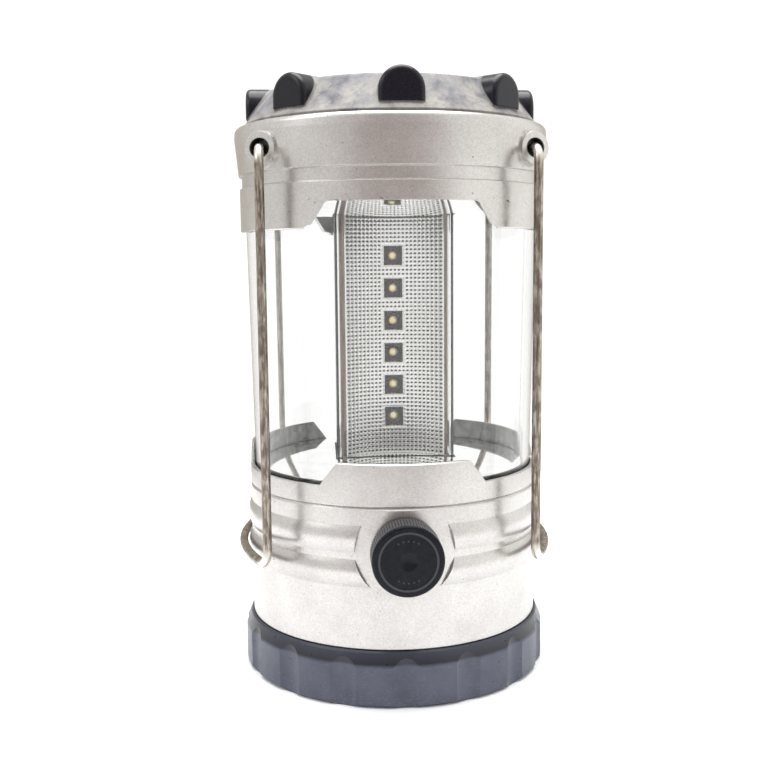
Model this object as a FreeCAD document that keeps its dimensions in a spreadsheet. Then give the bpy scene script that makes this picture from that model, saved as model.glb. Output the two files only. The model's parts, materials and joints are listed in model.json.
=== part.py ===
import FreeCAD, Part
import math
import os
import Sketcher
from FreeCAD import Placement, Rotation, Vector

# A battery camping lantern: a clear globe round a two-sided column of LEDs, between a housing
# with a dimmer knob and a screw-off base cap, and a top ring that carries two wire handles.
# Millimetres, +Z up, origin at the centre of the base's underside, knob towards -Y.

DIMENSIONS = {
    # base cap
    "cap_radius": 48.3,
    "cap_height": 16.4,
    "cap_wall_height": 12.0,
    "cap_lip_radius": 46.7,
    "cap_bore_radius": 44.9,
    "cap_floor_bottom": 1.0,
    "cap_floor_top": 3.0,
    "flute_count": 16,
    "flute_depth": 1.1,
    "flute_width": 8.6,
    # thread between the cap and the housing's neck
    "thread_lead": 12.0,
    "thread_starts": 3,
    "ridge_depth": 1.9,
    "ridge_thickness": 1.3,
    "ridge_turn": 165.0,
    "ridge_top": 11.0,
    "lug_thickness": 1.5,
    "lug_span": 12.0,
    # housing
    "body_radius": 45.8,
    "body_wall": 2.4,
    "body_bottom": 16.7,
    "body_top": 58.2,
    "neck_radius": 42.2,
    "neck_bottom": 6.0,
    "bead_rise": 1.0,
    "bead_width": 8.0,
    "bead_lower_bottom": 35.0,
    "bead_upper_bottom": 45.0,
    "clearing_radius": 14.5,
    "deck_bottom": 60.4,
    "deck_top": 62.2,
    "spigot_radius": 43.3,
    # lower collar
    "collar_top": 64.0,
    "tab_top": 71.0,
    "tab_angle_top": 24.6,
    "tab_angle_bottom": 32.0,
    # globe
    "globe_bottom": 63.2,
    "globe_top": 148.0,
    "globe_radius_bottom": 44.15,
    "globe_radius_top": 45.7,
    "globe_wall": 2.0,
    # top ring
    "ring_bottom": 137.0,
    "ring_top": 168.4,
    "ring_radius_bottom": 47.2,
    "ring_radius_belt": 47.5,
    "ring_radius_top": 48.6,
    "ring_bore": 46.0,
    "ring_upper_bore": 44.3,
    "groove_bottom": 150.4,
    "groove_top": 153.8,
    "groove_radius": 46.5,
    "shelf_bottom": 149.2,
    "shelf_top": 151.0,
    "shelf_bore": 33.0,
    "window_top": 144.6,
    "window_angle_top": 27.1,
    "window_angle_bottom": 33.3,
    # crown
    "crown_bottom": 168.6,
    "crown_top": 180.0,
    "crown_radius_bottom": 45.6,
    "crown_radius_top": 37.2,
    "crown_wall": 2.2,
    "stud_count": 8,
    "stud_width": 13.0,
    "stud_bottom": 171.3,
    "stud_face_radius": 44.6,
    # handles
    "wire_radius": 1.35,
    "hinge_x": 39.5,
    "hinge_z": 160.0,
    "leg_y": 36.5,
    "leg_bottom": 39.7,
    "bail_bend": 5.0,
    "bar_angle": 24.5,
    "boss_face_y": 31.8,
    "boss_turn": 25.0,
    "boss_radius": 4.7,
    "boss_root_radius": 6.2,
    "boss_mouth_radius": 2.9,
    # light column
    "sleeve_width": 36.5,
    "sleeve_depth": 30.0,
    "sleeve_wall": 1.2,
    "sleeve_bottom": 62.4,
    "sleeve_top": 146.4,
    "trough_half_width": 14.85,
    "trough_edge_y": 13.4,
    "trough_floor_y": 7.5,
    "trough_bottom": 67.4,
    "trough_top": 145.4,
    "led_count": 6,
    "led_pitch": 10.08,
    "led_first": 79.2,
    "led_window": 5.9,
    "led_radius": 2.5,
    "board_half_width": 16.85,
    "board_thickness": 1.6,
    # plated dishes
    "dish_wall": 1.0,
    "dish_inner_radius": 15.0,
    "dish_curve": 200.0,
    "ceiling_inner": 141.3,
    "ceiling_rim_radius": 43.2,
    "ceiling_rim": 145.4,
    "floor_inner": 66.5,
    "floor_rim_radius": 41.7,
    "floor_rim": 64.8,
    # knob and dimmer
    "knob_z": 45.5,
    "knob_radius": 10.25,
    "knob_face": 55.6,
    "knob_back": 46.8,
    "knob_knurls": 76,
    "shaft_radius": 3.0,
    "bushing_radius": 3.5,
    "dimmer_radius": 8.2,
    # cells
    "cell_radius": 7.25,
    "cell_length": 50.5,
    "cell_pitch": 17.0,
    "cell_y": 8.0,
    "cell_bottom": 5.5,
    # small fits
    "gap": 0.3,
    "pin_fit": 0.05,
}

doc = FreeCAD.newDocument("CampingLantern")
sheet = doc.addObject("Spreadsheet::Sheet", "Sizes")
for row, (alias, number) in enumerate(DIMENSIONS.items(), start=1):
    sheet.set(f"A{row}", alias.replace("_", " "))
    sheet.set(f"B{row}", str(number))
    sheet.setAlias(f"B{row}", alias)
doc.recompute()

subparts = []


class Size:
    """A number together with the sheet expression that gives it."""

    def __init__(self, number, text):
        self.number = number
        self.text = text

    def __add__(self, other):
        other = as_size(other)
        return Size(self.number + other.number, f"({self.text} + {other.text})")

    def __sub__(self, other):
        other = as_size(other)
        return Size(self.number - other.number, f"({self.text} - {other.text})")

    def __mul__(self, other):
        other = as_size(other)
        return Size(self.number * other.number, f"(({self.text}) * ({other.text}))")

    def __truediv__(self, other):
        other = as_size(other)
        return Size(self.number / other.number, f"(({self.text}) / ({other.text}))")

    def __neg__(self):
        return Size(-self.number, f"(0 - {self.text})")

    def __radd__(self, other):
        return as_size(other) + self

    def __rsub__(self, other):
        return as_size(other) - self

    def __rmul__(self, other):
        return as_size(other) * self


def as_size(value):
    """The value as a Size; plain numbers become constants."""
    if isinstance(value, Size):
        return value
    if value < 0:
        return Size(value, f"(0 - {-value!r})")
    return Size(value, repr(value))


def dim(alias):
    """A driving dimension from the sheet."""
    return Size(DIMENSIONS[alias], f"Sizes.{alias}")


def sine(angle):
    """The sine of an angle in degrees."""
    return Size(math.sin(math.radians(angle.number)), f"sin({angle.text} * 1 deg)")


def cosine(angle):
    """The cosine of an angle in degrees."""
    return Size(math.cos(math.radians(angle.number)), f"cos({angle.text} * 1 deg)")


def bind(target, path, value):
    """Tie a property of a document object to the sheet."""
    target.setExpression(path, as_size(value).text)


def keep(target, label):
    """Name a finished sub-part and list it for export."""
    target.Label = label
    subparts.append(target)
    return target


# ---------------------------------------------------------------- sketches and features


def new_body(name):
    return doc.addObject("PartDesign::Body", name)


def origin_item(body, role):
    """One of the body's own origin planes or axes."""
    return [item for item in body.Origin.OriginFeatures if item.Role == role][0]


def new_sketch(body, name, plane, lift=0.0):
    """A sketch on one of the body's origin planes, moved along the plane's normal by lift."""
    sketch = body.newObject("Sketcher::SketchObject", name)
    sketch.AttachmentSupport = [(origin_item(body, plane), "")]
    sketch.MapMode = "FlatFace"
    lift = as_size(lift)
    sketch.AttachmentOffset = Placement(Vector(0, 0, lift.number), Rotation())
    bind(sketch, "AttachmentOffset.Base.z", lift)
    return sketch


def arc_between(start, end, radius, turns_left):
    """The short arc from start to end, bending to the left or to the right."""
    chord = end - start
    middle = (start + end) * 0.5
    reach = math.sqrt(radius ** 2 - (chord.Length / 2) ** 2)
    side = Vector(-chord.y, chord.x, 0).normalize() * (reach if turns_left else -reach)
    centre = middle + side
    first, last = (start, end) if turns_left else (end, start)
    angles = [math.atan2(point.y - centre.y, point.x - centre.x) for point in (first, last)]
    return Part.ArcOfCircle(Part.Circle(centre, Vector(0, 0, 1), radius), *angles)


def pin_point(sketch, geometry, corner, place):
    """Fix a corner of the outline at the place that the sheet gives."""
    for axis, kind, value in ((-2, "DistanceX", place[0]), (-1, "DistanceY", place[1])):
        value = as_size(value)
        if abs(value.number) < 1e-9:
            sketch.addConstraint(Sketcher.Constraint("PointOnObject", geometry, corner, axis))
            continue
        index = sketch.addConstraint(
            Sketcher.Constraint(kind, -1, 1, geometry, corner, value.number))
        bind(sketch, f"Constraints[{index}]", value)


def draw_outline(sketch, points):
    """A closed outline. A point is (x, y), or (x, y, radius, turns_left) to leave it by an arc."""
    corners = [Vector(as_size(point[0]).number, as_size(point[1]).number, 0) for point in points]
    ends = []
    for index, point in enumerate(points):
        start = corners[index]
        end = corners[(index + 1) % len(points)]
        if len(point) == 2:
            sketch.addGeometry(Part.LineSegment(start, end), False)
            ends.append((1, 2))
            continue
        radius = as_size(point[2])
        sketch.addGeometry(arc_between(start, end, radius.number, point[3]), False)
        ends.append((1, 2) if point[3] else (2, 1))
    first = sketch.GeometryCount - len(points)
    for index, point in enumerate(points):
        following = (index + 1) % len(points)
        sketch.addConstraint(Sketcher.Constraint(
            "Coincident", first + index, ends[index][1], first + following, ends[following][0]))
    for index, point in enumerate(points):
        pin_point(sketch, first + index, ends[index][0], point)
        if len(point) == 4:
            constraint = sketch.addConstraint(
                Sketcher.Constraint("Radius", first + index, as_size(point[2]).number))
            bind(sketch, f"Constraints[{constraint}]", point[2])


def draw_circle(sketch, x, y, radius):
    """A full circle in a sketch."""
    centre = Vector(as_size(x).number, as_size(y).number, 0)
    circle = Part.Circle(centre, Vector(0, 0, 1), as_size(radius).number)
    geometry = sketch.addGeometry(circle, False)
    pin_point(sketch, geometry, 3, (x, y))
    constraint = sketch.addConstraint(
        Sketcher.Constraint("Radius", geometry, as_size(radius).number))
    bind(sketch, f"Constraints[{constraint}]", radius)


def draw_box(sketch, x_low, y_low, x_high, y_high):
    """An upright rectangle in a sketch."""
    draw_outline(sketch, [(x_low, y_low), (x_high, y_low), (x_high, y_high), (x_low, y_high)])


def revolve(body, name, points):
    """A solid of revolution about Z from an outline of (radius, height) points."""
    sketch = new_sketch(body, name + "_profile", "XZ_Plane")
    draw_outline(sketch, points)
    feature = body.newObject("PartDesign::Revolution", name)
    feature.Profile = sketch
    feature.ReferenceAxis = (sketch, ["V_Axis"])
    feature.Angle = 360.0
    return feature


def extrude(body, kind, name, sketch, length, reverse=False):
    """A Pad or a Pocket of the sketch; reverse flips its side."""
    feature = body.newObject("PartDesign::" + kind, name)
    feature.Profile = sketch
    feature.Length = as_size(length).number
    bind(feature, "Length", length)
    feature.Reversed = reverse
    return feature


def repeat_round(body, name, features, count):
    """Copies of the features evenly round the body's Z axis."""
    pattern = body.newObject("PartDesign::PolarPattern", name)
    pattern.Originals = features
    pattern.Axis = (origin_item(body, "Z_Axis"), [""])
    pattern.Angle = 360.0
    pattern.Occurrences = int(as_size(count).number)
    body.Tip = pattern
    return pattern


def check_change(body, label, before, grows):
    """Stop if the features since the last look didn't change the volume the right way."""
    doc.recompute()
    after = body.Shape.Volume
    if (after <= before + 1e-6) if grows else (after >= before - 1e-6):
        raise RuntimeError(f"{label} did not change the solid: {before:.2f} to {after:.2f}")
    return after


# ---------------------------------------------------------------- Part primitives


def place_object(target, x, y, z, rotation=None):
    """Stand an object at a place that the sheet gives."""
    rotation = rotation or Rotation()
    spot = [as_size(value) for value in (x, y, z)]
    target.Placement = Placement(Vector(*[value.number for value in spot]), rotation)
    for axis, value in zip("xyz", spot):
        bind(target, f"Placement.Base.{axis}", value)


ALONG_MINUS_Y = Rotation(Vector(1, 0, 0), 90)
ALONG_PLUS_Y = Rotation(Vector(1, 0, 0), -90)
DOWN = Rotation(Vector(1, 0, 0), 180)


def cylinder(name, radius, height, x, y, z, rotation=None):
    target = doc.addObject("Part::Cylinder", name)
    target.Radius = as_size(radius).number
    target.Height = as_size(height).number
    bind(target, "Radius", radius)
    bind(target, "Height", height)
    place_object(target, x, y, z, rotation)
    return target


def cone(name, radius_low, radius_high, height, x, y, z, rotation=None):
    target = doc.addObject("Part::Cone", name)
    for path, value in (("Radius1", radius_low), ("Radius2", radius_high), ("Height", height)):
        setattr(target, path, as_size(value).number)
        bind(target, path, value)
    place_object(target, x, y, z, rotation)
    return target


def block(name, x_low, y_low, z_low, x_high, y_high, z_high):
    """A box between two corners."""
    target = doc.addObject("Part::Box", name)
    lows = [as_size(value) for value in (x_low, y_low, z_low)]
    highs = [as_size(value) for value in (x_high, y_high, z_high)]
    for path, low, high in zip(("Length", "Width", "Height"), lows, highs):
        setattr(target, path, (high - low).number)
        bind(target, path, high - low)
    place_object(target, *lows)
    return target


def sphere(name, radius, x, y, z):
    target = doc.addObject("Part::Sphere", name)
    target.Radius = as_size(radius).number
    bind(target, "Radius", radius)
    place_object(target, x, y, z)
    return target


def fuse(name, pieces):
    target = doc.addObject("Part::MultiFuse", name)
    target.Shapes = pieces
    return target


def cut(name, base, tool):
    target = doc.addObject("Part::Cut", name)
    target.Base = base
    target.Tool = tool
    return target


def group(name, pieces):
    """Separate solids that share one node."""
    target = doc.addObject("Part::Compound", name)
    target.Links = pieces
    return target


def spots_round(radius, angles):
    """Places on a circle, as sheet sizes."""
    radius = as_size(radius)
    return [(radius * math.sin(math.radians(angle)), -radius * math.cos(math.radians(angle)))
            for angle in angles]


def screws(label, spots, head_z, points_down, shank_radius, head_radius, head_height, length):
    """Pan-head screws, each with a cross recess, whose heads bear at head_z."""
    pieces = []
    turn = DOWN if points_down else Rotation()
    away = 1 if points_down else -1
    for index, (x, y) in enumerate(spots):
        tag = f"{label}_{index}"
        shank = cylinder(tag + "_shank", shank_radius, length, x, y, head_z, turn)
        head_turn = Rotation() if points_down else DOWN
        head = cone(tag + "_head", head_radius, head_radius * 0.8, head_height, x, y, head_z, head_turn)
        slots = []
        recess_low = as_size(head_z) + away * head_height * 0.45
        recess_high = as_size(head_z) + away * (head_height + 1)
        if not points_down:
            recess_low, recess_high = recess_high, recess_low
        arm, width = head_radius * 0.62, head_radius * 0.14
        for suffix, half_x, half_y in (("a", arm, width), ("b", width, arm)):
            slots.append(block(tag + "_slot_" + suffix, x - half_x, y - half_y, recess_low,
                               x + half_x, y + half_y, recess_high))
        pieces.append(cut(tag, fuse(tag + "_blank", [shank, head]), fuse(tag + "_slots", slots)))
    return keep(group(label + "_set", pieces), label)


# ---------------------------------------------------------------- swept wires


def tangent_path(points, radii):
    """A wire of straight runs joined by tangent arcs of the given radii."""
    edges = []
    start = points[0]
    for index in range(1, len(points) - 1):
        corner = points[index]
        back = (points[index - 1] - corner).normalize()
        ahead = (points[index + 1] - corner).normalize()
        half_turn = (math.pi - back.getAngle(ahead)) / 2
        reach = radii[index - 1] * math.tan(half_turn)
        entry = corner + back * reach
        leave = corner + ahead * reach
        inward = (back + ahead).normalize()
        centre = corner + inward * (radii[index - 1] / math.cos(half_turn))
        middle = centre - inward * radii[index - 1]
        edges.append(Part.makeLine(start, entry))
        edges.append(Part.Arc(entry, middle, leave).toShape())
        start = leave
    edges.append(Part.makeLine(start, points[-1]))
    return Part.Wire(edges)


def sweep_round(path, radius):
    """A round bar along a path."""
    start = path.Edges[0].valueAt(path.Edges[0].FirstParameter)
    heading = path.Edges[0].tangentAt(path.Edges[0].FirstParameter)
    ring = Part.Wire(Part.makeCircle(radius, start, heading))
    bar = path.makePipeShell([ring], True, False)
    expected = math.pi * radius ** 2 * path.Length
    if abs(bar.Volume - expected) > 0.01 * expected:
        raise RuntimeError(f"a swept bar holds {bar.Volume:.2f}, not {expected:.2f}")
    return bar


def shaped(name, shape):
    """A document object whose shape is set here in code."""
    target = doc.addObject("Part::Feature", name)
    target.Shape = shape
    target.Placement = Placement()
    return target


# ---------------------------------------------------------------- base cap


def make_base_cap():
    """The screw-off battery cap: a fluted wall, a recessed floor and three thread lugs."""
    body = new_body("base_cap")
    wall_top = dim("cap_height")
    bore = dim("cap_bore_radius")
    foot_inner = dim("cap_radius") - 8
    revolve(body, "cap_shell", [
        (0, dim("cap_floor_bottom")),
        (foot_inner - 1, dim("cap_floor_bottom")),
        (foot_inner, 0),
        (dim("cap_radius") - 1, 0),
        (dim("cap_radius"), 1),
        (dim("cap_radius"), dim("cap_wall_height")),
        (dim("cap_lip_radius"), wall_top - 0.5),
        (dim("cap_lip_radius") - 0.5, wall_top),
        (bore + 0.3, wall_top),
        (bore, wall_top - 0.3),
        (bore, dim("cap_floor_top")),
        (0, dim("cap_floor_top")),
    ])
    volume = check_change(body, "cap shell", 0, True)

    half = dim("flute_width") / 2
    depth = dim("flute_depth")
    flute_radius = (half * half + depth * depth) / (2 * depth)
    flute = new_sketch(body, "flute_circle", "XY_Plane", -1)
    draw_circle(flute, 0, -(dim("cap_radius") - depth + flute_radius), flute_radius)
    pocket = extrude(body, "Pocket", "flute", flute, dim("cap_height") + 2, reverse=True)
    repeat_round(body, "flutes", [pocket], dim("flute_count"))
    volume = check_change(body, "flutes", volume, False)

    socket = new_sketch(body, "rivet_socket_circle", "XY_Plane", dim("cap_floor_top"))
    draw_circle(socket, 0, 0, dim("shaft_radius") + dim("pin_fit"))
    extrude(body, "Pocket", "rivet_socket", socket, 1.2)
    volume = check_change(body, "rivet socket", volume, False)

    # A lug sits on top of a ridge of the neck, with clearance above and below it.
    lug_bottom = dim("ridge_top") + 0.55
    lug = new_sketch(body, "lug_outline", "XY_Plane", lug_bottom)
    inner = dim("neck_radius") + 0.8
    outer = bore + 0.4
    half_span = dim("lug_span") / 2
    draw_outline(lug, [
        (-outer * sine(half_span), -outer * cosine(half_span), outer, True),
        (outer * sine(half_span), -outer * cosine(half_span)),
        (inner * sine(half_span), -inner * cosine(half_span), inner, False),
        (-inner * sine(half_span), -inner * cosine(half_span)),
    ])
    pad = extrude(body, "Pad", "lug", lug, dim("lug_thickness"))
    repeat_round(body, "lugs", [pad], dim("thread_starts"))
    check_change(body, "lugs", volume, True)
    keep(body, "base_cap")


# The x of each key of the contact disc, and the side of the cell holder that it slides on.
KEY_SPOTS = ((9.5, -1), (0, 1))


def make_contact_disc():
    """The contact plate that rides in the cap and is keyed to the cell holder."""
    body = new_body("contact_disc")
    low = dim("cap_floor_top") + dim("gap")
    high = low + 1.5
    hub = dim("shaft_radius") + dim("pin_fit")
    revolve(body, "disc", [
        (hub, low), (38.5, low), (38.5, high), (5.5, high), (5.5, low + 0.6), (hub, low + 0.6)])
    volume = check_change(body, "disc", 0, True)
    keys = new_sketch(body, "key_outlines", "XY_Plane", low + 0.7)
    for x, side in KEY_SPOTS:
        near, far = dim("cell_y") + side * 9.25, dim("cell_y") + side * 11.25
        draw_box(keys, x - 2.7, near, x + 2.7, far)
    extrude(body, "Pad", "keys", keys, 12)
    check_change(body, "keys", volume, True)
    keep(body, "contact_disc")

    # The rivet holds the disc in the cap and lets the cap turn under it.
    shank = cylinder("rivet_shank", dim("shaft_radius"), high - dim("cap_floor_top") + 0.6,
                     0, 0, dim("cap_floor_top") - 1.2)
    head = cone("rivet_head", 5.0, 4.7, 0.4, 0, 0, low + 0.9)
    keep(fuse("disc_rivet_solid", [shank, head]), "disc_rivet")

    plate_bottom = high
    plate_top = high + 0.4
    pitch = dim("cell_pitch")
    y_low, y_high = dim("cell_y") - 2, dim("cell_y") + 4
    bridge = block("bottom_bridge", -pitch - 5, y_low, plate_bottom, 5, y_high, plate_top)
    single = block("bottom_single", pitch - 5, y_low, plate_bottom, pitch + 5, y_high, plate_top)
    tail = block("bottom_tail", pitch - 2, y_high, plate_bottom, pitch + 2, y_high + 10, plate_top)
    keep(group("bottom_contact_set", [bridge, fuse("bottom_end", [single, tail])]), "bottom_contacts")


# ---------------------------------------------------------------- housing


# Screws through the housing's deck: into the light column's foot, and into the cell holder.
COLUMN_SCREWS = ((as_size(-11), as_size(-8)), (as_size(11), as_size(-8)))
HOLDER_SCREWS = ((as_size(-28), dim("cell_y")), (as_size(28), dim("cell_y")))


def make_lower_housing():
    """The battery housing: beaded wall, threaded neck below, deck and spigot above."""
    body = new_body("housing_shell")
    wall = dim("body_radius")
    inner = wall - dim("body_wall")
    neck = dim("neck_radius")
    neck_bore = neck - dim("body_wall")
    rise = dim("bead_rise")
    half = dim("bead_width") / 2
    bead_arc = (half * half + rise * rise) / (2 * rise)
    beads = []
    for alias in ("bead_lower_bottom", "bead_upper_bottom"):
        beads.append((wall, dim(alias), bead_arc, True))
        beads.append((wall, dim(alias) + dim("bead_width")))
    revolve(body, "shell", [
        (neck_bore, dim("neck_bottom")),
        (neck, dim("neck_bottom")),
        (neck, dim("body_bottom")),
        (wall, dim("body_bottom")),
        *beads,
        (wall, dim("body_top") - 0.6),
        (wall - 0.5, dim("body_top")),
        (dim("spigot_radius"), dim("body_top")),
        (dim("spigot_radius"), dim("deck_top")),
        (0, dim("deck_top")),
        (0, dim("deck_bottom")),
        (dim("spigot_radius") - 2.2, dim("deck_bottom")),
        (dim("spigot_radius") - 2.2, 56),
        (inner, 54),
        (inner, dim("body_bottom") + 3),
        (neck_bore, dim("body_bottom") + 1),
    ])
    volume = check_change(body, "housing shell", 0, True)

    height = dim("knob_z")
    seat_radius = as_size(6.4)
    seat_sketch = new_sketch(body, "washer_seat_circle", "XZ_Plane", wall - 1.8)
    draw_circle(seat_sketch, 0, height, seat_radius)
    extrude(body, "Pad", "washer_seat", seat_sketch, 2.0)
    volume = check_change(body, "washer seat", volume, True)

    bore_sketch = new_sketch(body, "bushing_hole_circle", "XZ_Plane", wall - 6)
    draw_circle(bore_sketch, 0, height, dim("bushing_radius") + 0.1)
    extrude(body, "Pocket", "bushing_hole", bore_sketch, 10, reverse=True)
    volume = check_change(body, "bushing hole", volume, False)

    holes = new_sketch(body, "deck_holes", "XY_Plane", dim("deck_bottom") - 0.5)
    draw_circle(holes, 0, -6, 3)
    for x, y in [*COLUMN_SCREWS, *HOLDER_SCREWS]:
        draw_circle(holes, x, y, 1.4)
    extrude(body, "Pocket", "deck_cuts", holes, 3, reverse=True)
    volume = check_change(body, "deck holes", volume, False)

    ridge = new_sketch(body, "ridge_profile", "XZ_Plane")
    ridge_high = dim("ridge_top")
    ridge_low = ridge_high - dim("ridge_thickness")
    tip = neck + dim("ridge_depth")
    drop = dim("thread_lead") * dim("ridge_turn") / 360
    draw_outline(ridge, [
        (neck - 0.4, ridge_low - drop), (tip, ridge_low - drop + 0.2),
        (tip, ridge_high - drop), (neck - 0.4, ridge_high - drop)])
    helix = body.newObject("PartDesign::AdditiveHelix", "ridge")
    helix.Profile = ridge
    helix.ReferenceAxis = (ridge, ["V_Axis"])
    helix.Mode = "pitch-height-angle"
    helix.Pitch = dim("thread_lead").number
    helix.Height = drop.number
    bind(helix, "Pitch", dim("thread_lead"))
    bind(helix, "Height", drop)
    helix.LeftHanded = False
    repeat_round(body, "ridges", [helix], dim("thread_starts"))
    check_change(body, "ridges", volume, True)

    # The beads stop at a round clearing in front, all but the flat seat of the dimmer's washer.
    start = 12 - wall
    drill = cylinder("clearing_drill", dim("clearing_radius"), 20, 0, start, height, ALONG_MINUS_Y)
    core = cylinder("clearing_core", wall, 60, 0, 0, 20)
    seat = cylinder("clearing_seat", seat_radius + 0.2, start + wall + 0.2, 0, start, height,
                    ALONG_MINUS_Y)
    tool = cut("clearing", drill, fuse("clearing_kept", [core, seat]))
    keep(cut("lower_housing_solid", body, tool), "lower_housing")


def make_cap_seal():
    """The rubber ring that the closed cap's lip presses on."""
    ring = doc.addObject("Part::Torus", "cap_seal_ring")
    section = as_size(1.15)
    middle = dim("neck_radius") + section + 0.05
    ring.Radius1 = middle.number
    ring.Radius2 = section.number
    bind(ring, "Radius1", middle)
    bind(ring, "Radius2", section)
    place_object(ring, 0, 0, dim("body_bottom") - section - 0.05)
    keep(ring, "cap_seal")


def make_lower_collar():
    """The painted ring round the globe's foot, with three upstanding tabs."""
    body = new_body("lower_collar")
    outer = dim("body_radius")
    bore_low = dim("spigot_radius") + 0.1
    bore_high = dim("globe_radius_bottom") + 0.35
    revolve(body, "collar_ring", [
        (bore_low, dim("body_top")),
        (outer - 0.5, dim("body_top")),
        (outer, dim("body_top") + 0.5),
        (outer, dim("tab_top") - 0.4),
        (outer - 0.4, dim("tab_top")),
        (bore_high, dim("tab_top")),
        (bore_high, dim("deck_top")),
        (bore_low, dim("deck_top")),
    ])
    volume = check_change(body, "collar ring", 0, True)
    between = new_sketch(body, "between_tabs", "XZ_Plane", 0)
    third = as_size(60)
    half_low = outer * sine(third - dim("tab_angle_bottom"))
    half_high = outer * sine(third - dim("tab_angle_top"))
    above = dim("tab_top") + 2
    draw_outline(between, [
        (-half_low, dim("collar_top")), (half_low, dim("collar_top")),
        (half_high, dim("tab_top")), (half_high, above),
        (-half_high, above), (-half_high, dim("tab_top"))])
    pocket = extrude(body, "Pocket", "tab_gap", between, 60)
    repeat_round(body, "tab_gaps", [pocket], 3)
    check_change(body, "tab gaps", volume, False)
    keep(body, "lower_collar")


# ---------------------------------------------------------------- globe and seals


def make_globe():
    """The clear tube, slightly wider at the top, and the two seals at its ends."""
    body = new_body("clear_globe")
    low, high = dim("globe_bottom"), dim("globe_top")
    r_low, r_high, wall = dim("globe_radius_bottom"), dim("globe_radius_top"), dim("globe_wall")
    revolve(body, "globe_tube", [
        (r_low - wall, low), (r_low, low), (r_high, high), (r_high - wall, high)])
    check_change(body, "globe", 0, True)
    keep(body, "clear_globe")

    for label, bottom, top, radius in (
            ("globe_seal_lower", dim("deck_top"), low, dim("globe_radius_bottom") - 0.1),
            ("globe_seal_upper", high, dim("shelf_bottom"), dim("globe_radius_top") - 0.1)):
        seal = new_body(label)
        revolve(seal, label + "_ring", [
            (radius - wall, bottom), (radius, bottom), (radius, top), (radius - wall, top)])
        check_change(seal, label, 0, True)
        keep(seal, label)


# ---------------------------------------------------------------- plated dishes


def make_dishes():
    """The plated ceiling, which rises towards its rim, and the plated floor, which falls to it."""
    hole_x = dim("sleeve_width") / 2 + dim("gap")
    hole_y = dim("sleeve_depth") / 2 + dim("gap")
    wall = dim("dish_wall")
    inner_radius = dim("dish_inner_radius")
    curve = dim("dish_curve")

    ceiling = new_body("ceiling_reflector")
    rim, inner = dim("ceiling_rim"), dim("ceiling_inner")
    rim_radius = dim("ceiling_rim_radius")
    revolve(ceiling, "ceiling_shell", [
        (inner_radius, inner, curve, True), (rim_radius, rim),
        (rim_radius, rim + wall, curve, False), (inner_radius, inner + wall)])
    volume = check_change(ceiling, "ceiling shell", 0, True)
    posts = new_sketch(ceiling, "ceiling_posts_circles", "XY_Plane", rim - 0.9)
    for x, y in spots_round(36, (0, 120, 240)):
        draw_circle(posts, x, y, 2.5)
    extrude(ceiling, "Pad", "ceiling_posts", posts, dim("shelf_bottom") - rim + 0.9)
    volume = check_change(ceiling, "ceiling posts", volume, True)
    pilots = new_sketch(ceiling, "ceiling_pilot_circles", "XY_Plane", dim("shelf_bottom"))
    for x, y in spots_round(36, (0, 120, 240)):
        draw_circle(pilots, x, y, 1.15)
    extrude(ceiling, "Pocket", "ceiling_pilots", pilots, 4.1)
    volume = check_change(ceiling, "ceiling pilots", volume, False)
    hole = new_sketch(ceiling, "ceiling_hole", "XY_Plane", inner - 2)
    draw_box(hole, -hole_x, -hole_y, hole_x, hole_y)
    extrude(ceiling, "Pocket", "ceiling_cut", hole, 10, reverse=True)
    check_change(ceiling, "ceiling hole", volume, False)
    keep(ceiling, "ceiling_reflector")
    screws("ceiling_screws", spots_round(36, (0, 120, 240)), dim("shelf_top"), True, 1.1, 2.2, 1.5, 5.3)

    floor = new_body("floor_reflector")
    rim, inner = dim("floor_rim"), dim("floor_inner")
    rim_radius = dim("floor_rim_radius")
    revolve(floor, "floor_shell", [
        (inner_radius, inner), (inner_radius, inner + wall, curve, False),
        (rim_radius, rim), (rim_radius, dim("deck_top")),
        (rim_radius - wall, dim("deck_top")), (rim_radius - wall, rim - wall, curve, True)])
    volume = check_change(floor, "floor shell", 0, True)
    hole = new_sketch(floor, "floor_hole", "XY_Plane", dim("deck_top") - 1)
    draw_box(hole, -hole_x, -hole_y, hole_x, hole_y)
    extrude(floor, "Pocket", "floor_cut", hole, 10, reverse=True)
    check_change(floor, "floor hole", volume, False)
    keep(floor, "floor_reflector")


# ---------------------------------------------------------------- light column


def draw_trough(sketch, side):
    """The trough's section: a hollow mirror face with two cheeks that reach back to the board."""
    half = dim("trough_half_width")
    edge = dim("trough_edge_y")
    deep = edge - dim("trough_floor_y")
    curve = (half * half + deep * deep) / (2 * deep)
    cheek = half + 0.75
    root = dim("board_thickness") / 2
    draw_outline(sketch, [
        (-half, side * edge, curve, side > 0), (half, side * edge),
        (cheek, side * edge), (cheek, side * root),
        (half, side * root), (half, side * (edge - 1.2), curve, side < 0),
        (-half, side * (edge - 1.2)), (-half, side * root),
        (-cheek, side * root), (-cheek, side * edge)])


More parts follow.
